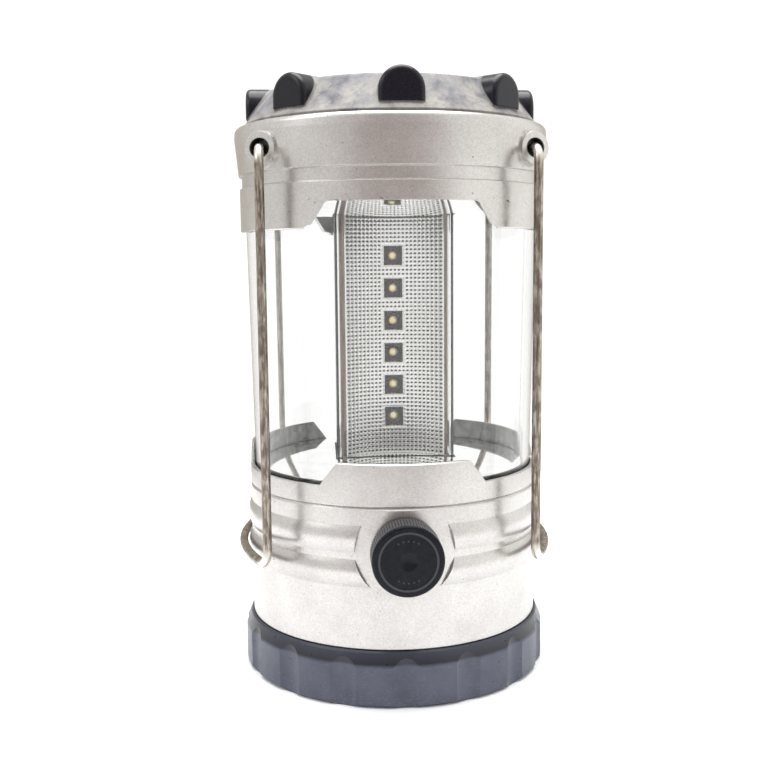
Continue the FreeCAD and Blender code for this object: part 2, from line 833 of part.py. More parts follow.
def make_column():
    """The light column: sleeve, two mirror troughs, the board, twelve LEDs and the foot."""
    sleeve = new_body("column_sleeve")
    half_x, half_y = dim("sleeve_width") / 2, dim("sleeve_depth") / 2
    wall = dim("sleeve_wall")
    section = new_sketch(sleeve, "sleeve_section", "XY_Plane", dim("sleeve_bottom"))
    for inset, corner in ((as_size(0), 2.5), (wall, 1.3)):
        x, y = half_x - inset, half_y - inset
        draw_outline(section, [
            (-x + corner, -y), (x - corner, -y, corner, True),
            (x, -y + corner), (x, y - corner, corner, True),
            (x - corner, y), (-x + corner, y, corner, True),
            (-x, y - corner), (-x, -y + corner, corner, True)])
    extrude(sleeve, "Pad", "sleeve_tube", section, dim("sleeve_top") - dim("sleeve_bottom"))
    check_change(sleeve, "sleeve", 0, True)
    keep(sleeve, "column_sleeve")

    height = dim("trough_top") - dim("trough_bottom")
    half_window = dim("led_window") / 2
    for label, side in (("reflector_front", -1), ("reflector_rear", 1)):
        trough = new_body(label)
        outline = new_sketch(trough, label + "_section", "XY_Plane", dim("trough_bottom"))
        draw_trough(outline, side)
        extrude(trough, "Pad", label + "_shell", outline, height)
        volume = check_change(trough, label, 0, True)
        windows = new_sketch(trough, label + "_windows", "XZ_Plane", -side * 3)
        for index in range(DIMENSIONS["led_count"]):
            middle = dim("led_first") + index * dim("led_pitch")
            draw_box(windows, -half_window, middle - half_window, half_window, middle + half_window)
        extrude(trough, "Pocket", label + "_cuts", windows, 10, reverse=side < 0)
        check_change(trough, label + " windows", volume, False)
        keep(trough, label)

    board = new_body("led_board")
    half_board = dim("board_half_width")
    board_sketch = new_sketch(board, "board_outline", "XZ_Plane", -dim("board_thickness") / 2)
    shoulder = dim("trough_bottom") - 0.2
    draw_outline(board_sketch, [
        (-13.5, 64.2), (13.5, 64.2), (13.5, shoulder), (half_board, shoulder),
        (half_board, dim("trough_top") - 0.2), (-half_board, dim("trough_top") - 0.2),
        (-half_board, shoulder), (-13.5, shoulder)])
    extrude(board, "Pad", "board", board_sketch, dim("board_thickness"))
    check_change(board, "board", 0, True)
    keep(board, "led_board")

    face = dim("board_thickness") / 2
    lens_y = dim("trough_floor_y") + 0.1
    for label, side, turn in (("leds_front", -1, ALONG_MINUS_Y), ("leds_rear", 1, ALONG_PLUS_Y)):
        lamps = []
        for index in range(DIMENSIONS["led_count"]):
            tag = f"{label}_{index}"
            height = dim("led_first") + index * dim("led_pitch")
            barrel = lens_y - dim("led_radius") - face
            lamps.append(fuse(tag, [
                cylinder(tag + "_flange", 2.85, 1.0, 0, side * face, height, turn),
                cylinder(tag + "_barrel", dim("led_radius"), barrel, 0, side * face, height, turn),
                sphere(tag + "_dome", dim("led_radius"), 0, side * (face + barrel), height)]))
        keep(group(label + "_set", lamps), label)

    base_top = dim("trough_bottom") - 0.3
    foot = block("foot_block", -16.4, -12, dim("deck_top"), 16.4, 12, base_top)
    slot = block("foot_slot", -13.8, -face - 0.1, 64, 13.8, face + 0.1, 70)
    notch = block("foot_notch", -4, -12.5, 60, 4, -face - 0.1, 70)
    pilots = [cylinder(f"foot_pilot_{index}", 1.2, 4.2, x, y, 61.5)
              for index, (x, y) in enumerate(COLUMN_SCREWS)]
    keep(cut("column_base_solid", foot, fuse("foot_cuts", [slot, notch, *pilots])), "column_base")
    screws("column_screws", COLUMN_SCREWS, dim("deck_bottom"), False, 1.15, 2.2, 1.3, 4.8)


# ---------------------------------------------------------------- top ring, bosses and crown


def make_top_ring():
    """The painted top ring: three windows, a recessed belt, an inner shelf and four bosses."""
    body = new_body("ring_shell")
    low, high = dim("ring_bottom"), dim("ring_top")
    revolve(body, "ring", [
        (dim("ring_bore"), low),
        (dim("ring_radius_bottom") - 0.3, low),
        (dim("ring_radius_bottom"), low + 0.4),
        (dim("ring_radius_bottom"), dim("groove_bottom") - 0.3),
        (dim("groove_radius"), dim("groove_bottom")),
        (dim("groove_radius"), dim("groove_top")),
        (dim("ring_radius_belt"), dim("groove_top") + 0.3),
        (dim("ring_radius_top"), high - 3.2),
        (dim("ring_radius_top") - 0.1, high - 1.6, 1.6, True),
        (dim("ring_radius_top") - 1.7, high),
        (dim("ring_upper_bore"), high),
        (dim("ring_upper_bore"), dim("shelf_top")),
        (dim("shelf_bore"), dim("shelf_top")),
        (dim("shelf_bore"), dim("shelf_bottom")),
        (dim("ring_bore"), dim("shelf_bottom")),
    ])
    volume = check_change(body, "ring", 0, True)

    window = new_sketch(body, "window_outline", "XZ_Plane", 20)
    half_low = dim("ring_radius_bottom") * sine(dim("window_angle_bottom"))
    half_high = dim("ring_radius_bottom") * sine(dim("window_angle_top"))
    top = dim("window_top")
    draw_outline(window, [
        (-half_low - 1.6, low - 1), (half_low + 1.6, low - 1),
        (half_low + 1.6, low, 2.2, True), (half_low - 0.6, low + 1.2),
        (half_high + 0.5, top - 1.4, 1.8, True), (half_high - 1.2, top),
        (-half_high + 1.2, top, 1.8, True), (-half_high - 0.5, top - 1.4),
        (-half_low + 0.6, low + 1.2, 2.2, True), (-half_low - 1.6, low)])
    pocket = extrude(body, "Pocket", "window", window, 40, reverse=True)
    repeat_round(body, "windows", [pocket], 3)
    volume = check_change(body, "windows", volume, False)

    shelf_holes = new_sketch(body, "shelf_hole_circles", "XY_Plane", dim("shelf_bottom") - 0.5)
    for x, y in [*spots_round(36, (0, 120, 240)), *spots_round(41, (60, 180, 300))]:
        draw_circle(shelf_holes, x, y, 1.4)
    extrude(body, "Pocket", "shelf_holes", shelf_holes, 3, reverse=True)
    check_change(body, "shelf holes", volume, False)

    bosses = []
    drills = []
    turn = dim("boss_turn")
    length = 9.0
    bore = dim("wire_radius") + dim("pin_fit")
    pin_reach = dim("boss_face_y") - 6.2
    for across in (-1, 1):
        for along in (-1, 1):
            tag = f"boss_{'front' if along < 0 else 'rear'}_{'left' if across < 0 else 'right'}"
            # The boss leans outwards from the Y direction by the boss turn.
            lean = Vector(across * sine(turn).number, along * cosine(turn).number, 0)
            outward = Rotation(Vector(0, 0, 1), lean)
            face_x, face_y = across * dim("hinge_x"), along * dim("boss_face_y")
            root_x = face_x - across * length * sine(turn)
            root_y = face_y - along * length * cosine(turn)
            bosses.append(cone(tag, dim("boss_root_radius"), dim("boss_radius"), length,
                               root_x, root_y, dim("hinge_z"), outward))
            mouth_x = face_x - across * 2.6 * sine(turn)
            mouth_y = face_y - along * 2.6 * cosine(turn)
            drills.append(cone(tag + "_mouth", dim("boss_mouth_radius") - 0.5,
                               dim("boss_mouth_radius"), 3.5, mouth_x, mouth_y,
                               dim("hinge_z"), outward))
            drills.append(cylinder(tag + "_bore", bore, 12, face_x, along * pin_reach,
                                   dim("hinge_z"), ALONG_MINUS_Y if along < 0 else ALONG_PLUS_Y))
    core = cylinder("boss_core", dim("ring_bore") + 0.3, 40, 0, 0, 140)
    trimmed = cut("bosses_trimmed", fuse("bosses", bosses), core)
    blank = fuse("top_ring_blank", [body, trimmed])
    keep(cut("top_ring_solid", blank, fuse("boss_drills", drills)), "top_ring")


def stud_ring():
    """The grip studs: half-round bars that point outwards, each with a rounded outer rim."""
    half, bottom = DIMENSIONS["stud_width"] / 2, DIMENSIONS["stud_bottom"]
    face, root = DIMENSIONS["stud_face_radius"], DIMENSIONS["crown_radius_top"] - 3.2
    shoulder = DIMENSIONS["crown_top"] + 1 - half
    bar = Part.makeCylinder(half, face - root, Vector(0, -face, shoulder), Vector(0, 1, 0))
    bar = bar.fuse(Part.makeBox(2 * half, face - root, half, Vector(-half, -face, shoulder - half)))
    bar = bar.cut(Part.makeBox(4 * half, 2 * face, half, Vector(-2 * half, -face - 1, bottom - half)))
    bar = bar.removeSplitter()
    rim = [edge for edge in bar.Edges
           if abs(edge.BoundBox.YMin + face) < 1e-6 and edge.BoundBox.YLength < 1e-6
           and edge.BoundBox.ZMax > bottom + 1e-6]
    bar = bar.makeFillet(1.5, rim)
    step = 360 / DIMENSIONS["stud_count"]
    studs = []
    for index in range(DIMENSIONS["stud_count"]):
        stud = bar.copy()
        stud.rotate(Vector(), Vector(0, 0, 1), index * step)
        studs.append(stud)
    return Part.makeCompound(studs)


def make_crown():
    """The black crown: a sloping shell with a sunk top and eight half-round grip studs."""
    body = new_body("crown_shell_body")
    low, high = dim("crown_bottom"), dim("crown_top")
    wide, narrow, wall = dim("crown_radius_bottom"), dim("crown_radius_top"), dim("crown_wall")
    spigot = dim("ring_upper_bore") - dim("gap")
    revolve(body, "crown_shell", [
        (0, high - 2.2), (narrow - 4.5, high - 2.2), (narrow - 3.5, high - 0.2),
        (narrow - 2.2, high), (narrow - 0.6, high), (narrow, high - 0.5),
        (wide, low + 0.6), (wide - 0.4, low), (spigot, low), (spigot, 162), (spigot - 2, 162),
        (spigot - 2, low + 1.2), (narrow - 2, high - 3.4), (narrow - 5, high - 2.2 - wall),
        (0, high - 2.2 - wall)])
    volume = check_change(body, "crown shell", 0, True)

    posts = new_sketch(body, "post_circles", "XY_Plane", dim("shelf_top"))
    for x, y in spots_round(41, (60, 180, 300)):
        draw_circle(posts, x, y, 2.9)
    extrude(body, "Pad", "posts", posts, 20)
    volume = check_change(body, "posts", volume, True)
    pilots = new_sketch(body, "post_pilots", "XY_Plane", dim("shelf_top"))
    for x, y in spots_round(41, (60, 180, 300)):
        draw_circle(pilots, x, y, 1.15)
    extrude(body, "Pocket", "pilots", pilots, 7, reverse=True)
    check_change(body, "pilots", volume, False)
    keep(fuse("crown_solid", [body, shaped("studs", stud_ring())]), "crown_cap")
    screws("crown_screws", spots_round(41, (60, 180, 300)), dim("shelf_bottom"), False,
           1.1, 2.1, 1.4, 8.0)


# ---------------------------------------------------------------- handles


def make_bails():
    """Two wire handles, each a U whose ends turn inwards into the front and rear bosses."""
    hinge_x, hinge_z = DIMENSIONS["hinge_x"], DIMENSIONS["hinge_z"]
    leg_y, bottom = DIMENSIONS["leg_y"], DIMENSIONS["leg_bottom"]
    bend, slant = DIMENSIONS["bail_bend"], math.radians(DIMENSIONS["bar_angle"])
    end_y = DIMENSIONS["boss_face_y"] - 5.6
    middle_turn = math.sin(math.radians(45))
    for label, side in (("bail_left", -1), ("bail_right", 1)):
        x = side * hinge_x
        into_bar = Vector(side * math.sin(slant), math.cos(slant), 0)
        bar_start = Vector(x, -leg_y, bottom) + into_bar * bend
        bar_radius = -bar_start.y / math.sin(slant)
        bulge = bar_radius * (1 - math.cos(slant))
        bar_middle = Vector(bar_start.x + side * bulge, 0, bottom)

        def half(along):
            """One half of the wire, from its hinge end to the bar's end, on the -Y or +Y side."""
            def at(dx, y, z):
                return Vector(x + dx, along * y, z)
            drop = bend * (1 - middle_turn)
            reach = bend * middle_turn
            top_arc = Part.Arc(at(0, leg_y - bend, hinge_z), at(0, leg_y - bend + reach, hinge_z - drop),
                               at(0, leg_y, hinge_z - bend))
            slide_x, slide_y = side * math.sin(slant), -math.cos(slant)
            low_arc = Part.Arc(at(0, leg_y, bottom + bend),
                               at(slide_x * drop, leg_y + slide_y * drop, bottom + bend - reach),
                               at(slide_x * bend, leg_y + slide_y * bend, bottom))
            return [Part.makeLine(at(0, end_y, hinge_z), at(0, leg_y - bend, hinge_z)),
                    top_arc.toShape(),
                    Part.makeLine(at(0, leg_y, hinge_z - bend), at(0, leg_y, bottom + bend)),
                    low_arc.toShape()]

        bar = Part.Arc(bar_start, bar_middle, Vector(bar_start.x, -bar_start.y, bottom)).toShape()
        path = Part.Wire(Part.__sortEdges__([*half(-1), bar, *half(1)]))
        keep(shaped(label + "_wire", sweep_round(path, DIMENSIONS["wire_radius"])), label)


# ---------------------------------------------------------------- knob and dimmer


def make_knob():
    """The knurled knob: fine straight teeth, a raised ring, a dimple and two arcs of dots."""
    body = new_body("knob_body")
    radius, face, back = dim("knob_radius"), dim("knob_face"), dim("knob_back")
    sketch = new_sketch(body, "knob_circle", "XZ_Plane", back)
    draw_circle(sketch, 0, dim("knob_z"), radius)
    disc = extrude(body, "Pad", "knob_disc", sketch, face - back)
    doc.recompute()
    rim = [f"Edge{index}" for index, edge in enumerate(body.Shape.Edges, start=1)
           if abs(edge.BoundBox.YMin + face.number) < 1e-4 and edge.BoundBox.YLength < 1e-3]
    rounding = body.newObject("PartDesign::Fillet", "knob_rounding")
    rounding.Base = (disc, rim)
    rounding.Radius = 0.9
    volume = check_change(body, "knob disc", 0, True)

    inside = new_sketch(body, "knob_hollow_circle", "XZ_Plane", back)
    draw_circle(inside, 0, dim("knob_z"), 7.2)
    extrude(body, "Pocket", "knob_hollow", inside, 3.2, reverse=True)
    volume = check_change(body, "knob hollow", volume, False)
    bore = new_sketch(body, "knob_bore_circle", "XZ_Plane", back)
    draw_circle(bore, 0, dim("knob_z"), dim("shaft_radius"))
    extrude(body, "Pocket", "knob_bore", bore, 6.6, reverse=True)
    check_change(body, "knob bore", volume, False)

    count = DIMENSIONS["knob_knurls"]
    height = dim("knob_z")
    grooves = []
    for index in range(count):
        angle = 2 * math.pi * index / count
        grooves.append(cylinder(f"knurl_{index}", 0.24, 8.2, radius * math.sin(angle),
                                -back + 0.5, height + radius * math.cos(angle), ALONG_MINUS_Y))
    ring = cut("face_ring", cylinder("face_ring_outer", radius * 0.83, 0.22, 0, -face, height,
                                     ALONG_MINUS_Y),
               cylinder("face_ring_inner", radius * 0.77, 0.5, 0, -face + 0.1, height, ALONG_MINUS_Y))
    dots = []
    for middle in (0, 180):
        for step in range(-2, 3):
            angle = math.radians(middle + step * 14)
            reach = radius * 0.58
            dots.append(cylinder(f"dot_{middle}_{step + 2}", 0.26, 0.2, reach * math.sin(angle), -face,
                                 height + reach * math.cos(angle), ALONG_MINUS_Y))
    dimple = sphere("dimple", 6.0, 0, -face - 5.35, height)
    raised = fuse("knob_raised", [body, ring, *dots])
    keep(cut("knob_solid", raised, fuse("knob_cuts", [*grooves, dimple])), "knob")


def make_dimmer():
    """The rotary dimmer: can and bushing, shaft, washer and nut, with its circuit board."""
    height = dim("knob_z")
    shaft = dim("shaft_radius")
    bushing = dim("bushing_radius")
    wall_face = dim("body_radius") - dim("body_wall") - 1.0
    can_back = wall_face - 8.5
    seat = dim("body_radius") + 0.2
    can = cylinder("dimmer_can", dim("dimmer_radius"), wall_face - can_back, 0, -can_back, height,
                   ALONG_MINUS_Y)
    neck = cylinder("dimmer_neck", bushing, seat + 3.2 - wall_face, 0, -wall_face, height,
                    ALONG_MINUS_Y)
    bore = cylinder("dimmer_bore", shaft + dim("pin_fit"), 30, 0, -(can_back + 1.5), height,
                    ALONG_MINUS_Y)
    pins = [block(f"dimmer_pin_{x}", x - 0.5, -can_back, height - 5.6, x + 0.5, -can_back + 1.9, height - 4.2)
            for x in (-5, 0, 5)]
    keep(cut("dimmer_control_solid", fuse("dimmer_parts", [can, neck, *pins]), bore), "dimmer_control")

    shaft_back = can_back + 1.8
    keep(cylinder("shaft_rod", shaft, dim("knob_back") + 6.4 - shaft_back, 0, -shaft_back, height,
                  ALONG_MINUS_Y), "dimmer_shaft")

    washer = cut("washer_solid", cylinder("washer_disc", 5.9, 0.6, 0, -seat, height, ALONG_MINUS_Y),
                 cylinder("washer_hole", bushing + 0.1, 2, 0, -seat + 0.5, height, ALONG_MINUS_Y))
    keep(washer, "dimmer_washer")
    nut = doc.addObject("Part::Prism", "nut_prism")
    nut.Polygon = 6
    nut.Circumradius = 5.9
    nut.Height = 2.0
    place_object(nut, 0, -seat - 0.6, height, ALONG_MINUS_Y)
    hole = cylinder("nut_hole", bushing + 0.02, 4, 0, -seat, height, ALONG_MINUS_Y)
    keep(cut("nut_solid", nut, hole), "dimmer_nut")

    board_front = can_back - 1.9
    board_back = board_front - 1.6
    keep(block("board_plate", -15, -board_front, 31, 15, -board_back, 57.5), "driver_board")
    parts = [
        cylinder("capacitor", 3.1, 6.2, -8.5, -board_back, 50, ALONG_PLUS_Y),
        block("driver_chip", 1.5, -board_back, 46, 7.5, -board_back + 1.9, 51),
        block("coil_block", -10, -board_back, 34, -4, -board_back + 3.4, 40),
        cylinder("resistor_low", 1.2, 6.0, 9, -board_back + 1.2, 35),
        cylinder("resistor_high", 1.2, 6.0, 12.2, -board_back + 1.2, 35),
    ]
    keep(group("driver_part_set", parts), "driver_parts")


# ---------------------------------------------------------------- cells and holder


def cell_spots():
    """The x of each cell, from left to right, with whether its nub is up."""
    pitch = dim("cell_pitch")
    return [(-pitch, True), (as_size(0), False), (pitch, True)]


def make_cells():
    """Three AA cells in a holder, with a leaf spring above each and the joining plates."""
    y = dim("cell_y")
    low, high = dim("cell_bottom"), dim("cell_bottom") + dim("cell_length")
    nub = 1.3
    cells = []
    for index, (x, nub_up) in enumerate(cell_spots()):
        can_low = low if nub_up else low + nub
        nub_low = high - nub - 0.2 if nub_up else low
        can = cylinder(f"cell_{index}_can", dim("cell_radius"), dim("cell_length") - nub, x, y, can_low)
        tip = cylinder(f"cell_{index}_nub", 2.75, nub + 0.2, x, y, nub_low)
        cells.append(fuse(f"cell_{index}", [can, tip]))
    keep(group("cell_set", cells), "battery_cells")

    top = dim("deck_bottom")
    plate_low = top - 1.4
    half_y = dim("cell_radius") + 1.7
    tube_bottom = dim("neck_bottom") + 1.5
    body = block("holder_block", -dim("cell_pitch") - 8.9, y - half_y, tube_bottom,
                 dim("cell_pitch") + 8.9, y + half_y, plate_low)
    plate = block("holder_plate", -32, y - half_y, plate_low, 32, y + half_y, top)
    posts = [cylinder(f"holder_post_{index}", 3, plate_low - 44, x, y, 44)
             for index, (x, y) in enumerate(HOLDER_SCREWS)]
    rib_low, rib_high = tube_bottom, 22
    ribs = []
    for x, side in KEY_SPOTS:
        near, far = sorted((y + side * half_y, y + side * (half_y + 2.6)), key=lambda edge: edge.number)
        for x_low in (x - 4.2, x + 3.0):
            ribs.append(block(f"rib_{x_low}_{side}", x_low, near, rib_low, x_low + 1.2, far, rib_high))
    bores = [cylinder(f"cell_bore_{index}", dim("cell_radius") + 0.3, plate_low - 1.0, x, y, 1)
             for index, (x, nub_up) in enumerate(cell_spots())]
    pilots = [cylinder(f"holder_pilot_{index}", 1.2, 10, x, y, 51)
              for index, (x, y) in enumerate(HOLDER_SCREWS)]
    plate_top = plate_low - 0.02
    plate_bottom = plate_top - 0.3
    slot = block("bridge_slot", 0, y - 3.2, plate_bottom - 0.1, dim("cell_pitch"), y + 3.2, plate_low)
    blank = fuse("holder_blank", [body, plate, *posts, *ribs])
    keep(cut("holder_solid", blank, fuse("holder_cuts", [*bores, *pilots, slot])), "battery_holder")
    screws("holder_screws", HOLDER_SCREWS, dim("deck_top"), True, 1.1, 2.2, 1.4, 9.5)

    strip, half_span = 0.3, 3.6
    leaf_top = plate_bottom.number - 0.05
    leaf_low = high.number + 0.05
    outline = [(-half_span, leaf_top - strip), (-half_span, leaf_top), (-half_span + 1, leaf_top),
               (0, leaf_low + strip + 0.1), (half_span - 1, leaf_top), (half_span, leaf_top),
               (half_span, leaf_top - strip), (half_span - 0.8, leaf_top - strip),
               (0.4, leaf_low), (-0.4, leaf_low), (-half_span + 0.8, leaf_top - strip)]
    leaves = []
    for x, nub_up in cell_spots():
        corners = [Vector(x.number + across, y.number - 2, height) for across, height in outline]
        face = Part.Face(Part.makePolygon([*corners, corners[0]]))
        leaves.append(face.extrude(Vector(0, 4, 0)))
    keep(shaped("spring_set", Part.makeCompound(leaves)), "contact_springs")

    single = cylinder("top_single", 6, 0.3, -dim("cell_pitch"), y, plate_bottom)
    bridge = block("top_bridge", -5, y - 3, plate_bottom, dim("cell_pitch") + 5, y + 3, plate_top)
    keep(group("top_contact_set", [single, bridge]), "top_contacts")


def make_wires():
    """The leads: board to light column, and battery contacts to board."""
    board_y = -(DIMENSIONS["body_radius"] - DIMENSIONS["body_wall"] - 1.0 - 8.5 - 1.9 - 0.8)
    led_face = -DIMENSIONS["board_thickness"] / 2
    radius = 0.6
    leads = []
    for x in (-1.4, 1.4):
        route = [Vector(x, led_face - 0.02, 66), Vector(x, -6, 66), Vector(x, -6, 59),
                 Vector(3 * x, board_y, 59), Vector(3 * x, board_y, 57.6)]
        leads.append(sweep_round(tangent_path(route, [1.6, 1.6, 0.7]), radius))
    keep(shaped("led_wire_pair", Part.makeCompound(leads)), "led_wires")

    battery = []
    holder_front = DIMENSIONS["cell_y"] - DIMENSIONS["cell_radius"] - 1.7
    for x in (-12, 12):
        route = [Vector(x, holder_front - 0.02, 54), Vector(x, holder_front - 8, 54),
                 Vector(x * 0.9, board_y + 4.5, 42), Vector(x * 0.9, board_y + 0.9, 42)]
        battery.append(sweep_round(tangent_path(route, [3, 3]), radius))
    keep(shaped("battery_wire_pair", Part.makeCompound(battery)), "battery_wires")


for make in (make_base_cap, make_contact_disc, make_lower_housing, make_cap_seal, make_lower_collar,
             make_globe, make_dishes, make_column, make_top_ring, make_crown, make_bails, make_knob,
             make_dimmer, make_cells, make_wires):
    make()
doc.recompute()

for item in doc.Objects:
    if "Invalid" in item.State or "Error" in item.State:
        raise RuntimeError(f"{item.Label} failed: {item.State}")
for item in subparts:
    if item.Shape.isNull() or not item.Shape.isValid():
        raise RuntimeError(f"{item.Label} has no valid shape")

os.makedirs("parts", exist_ok=True)
for item in subparts:
    item.Shape.exportStep(f"parts/{item.Label}.step")
    print(f"{item.Label}: {len(item.Shape.Solids)} solid(s), {item.Shape.Volume:.1f} mm3")
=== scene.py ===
"""Camping lantern: materials, mirror detail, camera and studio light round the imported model."""
import math

import bmesh
import bpy
from mathutils import Matrix, Vector
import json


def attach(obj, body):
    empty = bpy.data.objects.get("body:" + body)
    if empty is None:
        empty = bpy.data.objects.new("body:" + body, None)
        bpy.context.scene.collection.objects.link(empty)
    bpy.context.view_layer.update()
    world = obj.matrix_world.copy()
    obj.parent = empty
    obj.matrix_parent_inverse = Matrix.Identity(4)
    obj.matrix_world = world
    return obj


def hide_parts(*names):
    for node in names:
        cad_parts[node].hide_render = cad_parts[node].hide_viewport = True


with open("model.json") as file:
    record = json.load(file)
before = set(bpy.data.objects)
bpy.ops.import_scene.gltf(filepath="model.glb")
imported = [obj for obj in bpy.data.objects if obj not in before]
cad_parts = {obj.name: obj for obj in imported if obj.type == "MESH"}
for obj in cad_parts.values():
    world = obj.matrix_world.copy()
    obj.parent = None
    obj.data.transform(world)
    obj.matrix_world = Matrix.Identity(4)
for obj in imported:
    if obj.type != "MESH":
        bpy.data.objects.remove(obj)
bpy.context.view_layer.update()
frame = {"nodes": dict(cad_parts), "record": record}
NODES = frame["nodes"]

MM = 0.001
scene = bpy.context.scene

# Places on the lantern that its finishes change at, in millimetres.
WINDOW_TOP = 145.0
GLOBE_TOP = 110.0
GLOBE_BOTTOM = 90.0
HINGE_X = 39.5
HINGE_Z = 160.0
HINGE_HOLE = 2.85
CROWN_SLOPE = 11.4 / 8.4
CROWN_RIM = 173.0
STUD_START = 231.2
CAP_SHOULDER = 12.2
KNOB_Z = 45.5
KNOB_RIDGE = 10.05
KNOB_FACE = -55.6

# ---------------------------------------------------------------- camera

CAMERA_AZIMUTH = math.radians(4.4)
CAMERA_REACH = 332.5 * MM
CAMERA_HEIGHT = 128.6 * MM
CAMERA_PITCH = math.radians(6.9)
CAMERA_AIM_LEFT = math.radians(0.44)
CAMERA_ROLL = math.radians(0.5)
CAMERA_LENS = 48.5


def make_camera():
    """The camera stands a little to the left of the knob, just above the globe's middle."""
    data = bpy.data.cameras.new("camera")
    data.lens = CAMERA_LENS
    data.clip_start = 0.01
    data.clip_end = 20
    camera = bpy.data.objects.new("camera", data)
    scene.collection.objects.link(camera)
    heading = CAMERA_AZIMUTH - CAMERA_AIM_LEFT
    forward = Vector((math.sin(heading) * math.cos(CAMERA_PITCH),
                      math.cos(heading) * math.cos(CAMERA_PITCH),
                      -math.sin(CAMERA_PITCH)))
    level = forward.cross(Vector((0, 0, 1))).normalized()
    upright = level.cross(forward)
    right = level * math.cos(CAMERA_ROLL) - upright * math.sin(CAMERA_ROLL)
    up = level * math.sin(CAMERA_ROLL) + upright * math.cos(CAMERA_ROLL)
    turn = Matrix((right, up, -forward)).transposed().to_4x4()
    place = Vector((-CAMERA_REACH * math.sin(CAMERA_AZIMUTH),
                    -CAMERA_REACH * math.cos(CAMERA_AZIMUTH), CAMERA_HEIGHT))
    camera.matrix_world = Matrix.Translation(place) @ turn
    scene.camera = camera


make_camera()

# ---------------------------------------------------------------- material building


class Finish:
    """A procedural material. Lengths in its patterns are in millimetres."""

    def __init__(self, name, **values):
        self.material = bpy.data.materials.new(name)
        self.material.use_nodes = True
        self.tree = self.material.node_tree
        self.tree.nodes.clear()
        output = self.tree.nodes.new("ShaderNodeOutputMaterial")
        self.shader = self.tree.nodes.new("ShaderNodeBsdfPrincipled")
        self.tree.links.new(self.shader.outputs["BSDF"], output.inputs["Surface"])
        coordinates = self.tree.nodes.new("ShaderNodeTexCoord")
        scaled = self.tree.nodes.new("ShaderNodeVectorMath")
        scaled.operation = "SCALE"
        scaled.inputs["Scale"].default_value = 1 / MM
        self.tree.links.new(coordinates.outputs["Object"], scaled.inputs[0])
        self.place = scaled.outputs["Vector"]
        self.x, self.y, self.z = self.node("ShaderNodeSeparateXYZ", {"Vector": self.place}).outputs
        for socket, value in values.items():
            self.set(socket.replace("_", " "), value)

    def node(self, kind, inputs, **settings):
        made = self.tree.nodes.new(kind)
        for key, value in settings.items():
            setattr(made, key, value)
        for key, value in inputs.items():
            self.feed(made.inputs[key], value)
        return made

    def feed(self, socket, value):
        if isinstance(value, bpy.types.NodeSocket):
            self.tree.links.new(value, socket)
        elif isinstance(value, tuple) and len(value) == 3 and socket.type == "RGBA":
            socket.default_value = (*value, 1)
        else:
            socket.default_value = value

    def set(self, socket, value):
        self.feed(self.shader.inputs[socket], value)

    def noise(self, per_mm, detail=4.0, stretch=(1, 1, 1), rough=0.55):
        place = self.node("ShaderNodeVectorMath", {0: self.place, 1: stretch}, operation="MULTIPLY")
        made = self.node("ShaderNodeTexNoise", {
            "Vector": place.outputs[0], "Scale": per_mm, "Detail": detail, "Roughness": rough})
        return made.outputs["Fac"]

    def grains(self, per_mm):
        made = self.node("ShaderNodeTexVoronoi", {"Vector": self.place, "Scale": per_mm})
        return self.node("ShaderNodeSeparateColor", {"Color": made.outputs["Color"]}).outputs[0]

    def remap(self, value, low, high, to_low=0.0, to_high=1.0):
        made = self.node("ShaderNodeMapRange", {
            "Value": value, "From Min": low, "From Max": high, "To Min": to_low, "To Max": to_high})
        return made.outputs["Result"]

    def math(self, operation, first, second=0.0):
        return self.node("ShaderNodeMath", {0: first, 1: second}, operation=operation).outputs[0]

    def product(self, *values):
        result = values[0]
        for value in values[1:]:
            result = self.math("MULTIPLY", result, value)
        return result

    def radius(self):
        """The distance from the lantern's axis."""
        return self.distance(self.x, self.y)

    def patches(self, per_mm, dark, light, low=0.35, high=0.65, detail=4.0):
        """Two tones in soft patches."""
        return self.mix(self.remap(self.noise(per_mm, detail), low, high), dark, light)

    def varied(self, per_mm, low, high):
        """A number that wanders between low and high."""
        return self.remap(self.noise(per_mm), 0.3, 0.7, low, high)

    def distance(self, first, second):
        """The length of a line with these two legs."""
        return self.math("SQRT", self.math("ADD", self.math("MULTIPLY", first, first),
                                           self.math("MULTIPLY", second, second)))

    def mix(self, share, first, second):
        made = self.node("ShaderNodeMix", {}, data_type="RGBA")
        self.feed(made.inputs["Factor"], share)
        for key, value in (("A", first), ("B", second)):
            socket = next(s for s in made.inputs if s.name == key and s.type == "RGBA")
            self.feed(socket, value)
        return next(s for s in made.outputs if s.type == "RGBA")

    def relief(self, height, depth_mm, strength=1.0, edge_mm=0.0):
        """Bump from a height, over edges that are rounded by edge_mm."""
        made = self.node("ShaderNodeBump", {
            "Height": height, "Distance": depth_mm * MM, "Strength": strength})
        if edge_mm:
            rounded = self.node("ShaderNodeBevel", {"Radius": edge_mm * MM}, samples=4)
            self.tree.links.new(rounded.outputs["Normal"], made.inputs["Normal"])
        self.set("Normal", made.outputs["Normal"])


